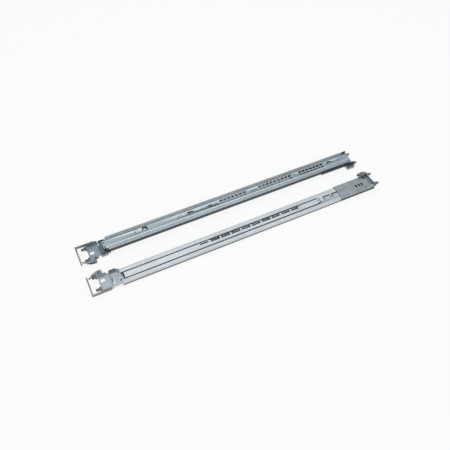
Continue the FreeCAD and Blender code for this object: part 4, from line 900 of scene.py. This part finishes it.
for side in SIDES:
    dress(side, cage_strip, "outer_ball_retainer", "inner_ball_retainer")
    for node in BALL_RADII:
        make_piece(node + "_ground", side, node[:-1] + "_set", "ball_steel", bearing_steel,
                   lambda bm: draw_balls(bm, side, node), node)


# ---- Inner members -----------------------------------------------------------------------------
# The member screwed to the server: roll-formed strip with rows of vents, blue-passivated zinc
# with a satin roll grain and a painted highlight along its near shoulder.

INNER_FACE = 19.2
INNER_CEILING = 17.8
LEVEL_SLACK = 0.05
VENT_ROWS = ((337.5, 408.0), (439.5, 530.5), (548.5, 619.5))
VENT_LEAD = 0.5
VENT_PITCH = 10.0
VENT_HALF = 3.5
VENT_STRETCH = 1.16
# How the coining punch spreads the two rows of vents across the web: levels before and after.
VENT_SPREAD = ((-7.65, -7.65), (-3.5, -5.9), (-0.1, -2.5), (2.1, 0.7), (5.5, 6.1), (7.65, 7.65))

# The shoulder colour is a painted highlight on the near corners.
inner_blue = plated_steel("satin_blue_zinc_inner", "#ACB8BF", "#9AA6AE", 0.38, shoulder="#CDD6DB")


def spread_vent(y):
    """Place across the web after the rows are opened out."""
    for (low, new_low), (high, new_high) in zip(VENT_SPREAD, VENT_SPREAD[1:]):
        if low <= y <= high:
            return new_low + (y - low) / (high - low) * (new_high - new_low)
    return y


def vented_section(bm, side):
    """The member with its vents opened to their full width."""
    copy_of(bm, side, "inner_member")
    for vert in bm.verts:
        row = next((low for low, high in VENT_ROWS if low < vert.co.x < high), None)
        if row is None or vert.co.z <= INNER_CEILING - LEVEL_SLACK:
            continue
        first = row + VENT_LEAD + VENT_HALF
        middle = first + round((vert.co.x - first) / VENT_PITCH) * VENT_PITCH
        vert.co.x = middle + (vert.co.x - middle) * VENT_STRETCH
        vert.co.y = spread_vent(vert.co.y)


THUMB_HOLE = ((150.5, 6.6), (160.2, 6.6), (160.2, -4.2))
THUMB_EDGE_WIDTH = 2.0
FRONT_SLOT = ((58.2, 3.2), (62.6, 3.2))
SLOT_EDGE_WIDTH = 2.4
ARCH_FEET = (627.0, 643.0)
ARCH_LOW = -0.6
ARCH_RISE = 4.6
ARCH_EDGE_WIDTH = 3.0
ARC_STEPS = 8
EDGE_PROUD = 0.05
DOT_PLACES = ((662.0, 1.0), (132.4, 1.3), (139.3, -5.4))
DOT_HALF = 1.5
DOT_PROUD = 0.06


def painted_shade_edges(bm):
    """Dark beads of painted shade round the thumb hole, the front slot, the arch and dots."""
    bead(bm, THUMB_HOLE, THUMB_EDGE_WIDTH, EDGE_PROUD, INNER_FACE)
    bead(bm, FRONT_SLOT, SLOT_EDGE_WIDTH, EDGE_PROUD, INNER_FACE)
    start, end = ARCH_FEET
    arch = []
    for i in range(ARC_STEPS + 1):
        share = i / ARC_STEPS
        arch.append((start + (end - start) * share, ARCH_LOW + ARCH_RISE * math.sin(math.pi * share)))
    bead(bm, arch, ARCH_EDGE_WIDTH, EDGE_PROUD, INNER_FACE)
    for x, y in DOT_PLACES:
        bead(bm, [(x - DOT_HALF, y), (x + DOT_HALF, y)], 2 * DOT_HALF, DOT_PROUD, INNER_FACE)


MARKS = ((75.0, -2.6), (78.2, -2.2), (80.4, -2.6), (83.0, -2.0))
MARK_LENGTH = 1.4
MARK_WIDTH = 0.9
MARK_PROUD = 0.08
ARC_CENTRE = (135.0, 4.5)
ARC_RADII = (4.5, 3.0)


def punch_marks(bm):
    """Punched witness marks and the arc pressed over the latch's rivets."""
    for x, y in MARKS:
        bead(bm, [(x, y), (x + MARK_LENGTH, y)], MARK_WIDTH, MARK_PROUD, INNER_FACE)
    arc = []
    for i in range(ARC_STEPS + 1):
        angle = math.pi * i / ARC_STEPS
        arc.append((ARC_CENTRE[0] + ARC_RADII[0] * math.cos(angle),
                    ARC_CENTRE[1] + ARC_RADII[1] * math.sin(angle)))
    bead(bm, arc, MARK_WIDTH, MARK_PROUD, INNER_FACE)


# Struck steel: the punch flattens the plate to a duller, darker grey.
witness_grey = plated_steel("punched_mark_steel", "#7C878E", "#6C767D", 0.45, 0.4, 8.0)
for side in SIDES:
    make_piece("inner_member_vented", side, "inner", "inner_steel", inner_blue,
               lambda bm: vented_section(bm, side), "inner_member")
    make_piece("painted_shade_edges", side, "inner", "inner_steel", painted_shade_line, painted_shade_edges)
    make_piece("punch_marks", side, "inner", "inner_steel", witness_grey, punch_marks)


# ---- Thumb latches -----------------------------------------------------------------------------
# A small tongue in the inner member's web that a thumb presses to free it, on a cross pin, with
# a spring leaf riveted below the web. Satin zinc, paler than the web round it.

THUMB_SPRING = ((143.0, 0.0, 17.5), (153.5, 0.0, 16.0))
latch_zinc = plated_steel("satin_zinc_thumb_latch", "#C3CACE", "#AEB5B9", 0.4, 0.5, 8.0)
for side in SIDES:
    eased_piece("thumb_latch", side, "thumb_latch", "latch_steel", latch_zinc, 0.2, 2)
    turned_pieces("thumb_latch_pin", side, "inner", "rivet_steel", oiled_pin, Y_AXIS, 0.1)
    turned_pieces("thumb_latch_rivets", side, "inner", "rivet_steel", oiled_pin, Z_AXIS, 0.1)
    bent_spring("thumb_latch_spring", side, "inner", "thumb_latch", *THUMB_SPRING)
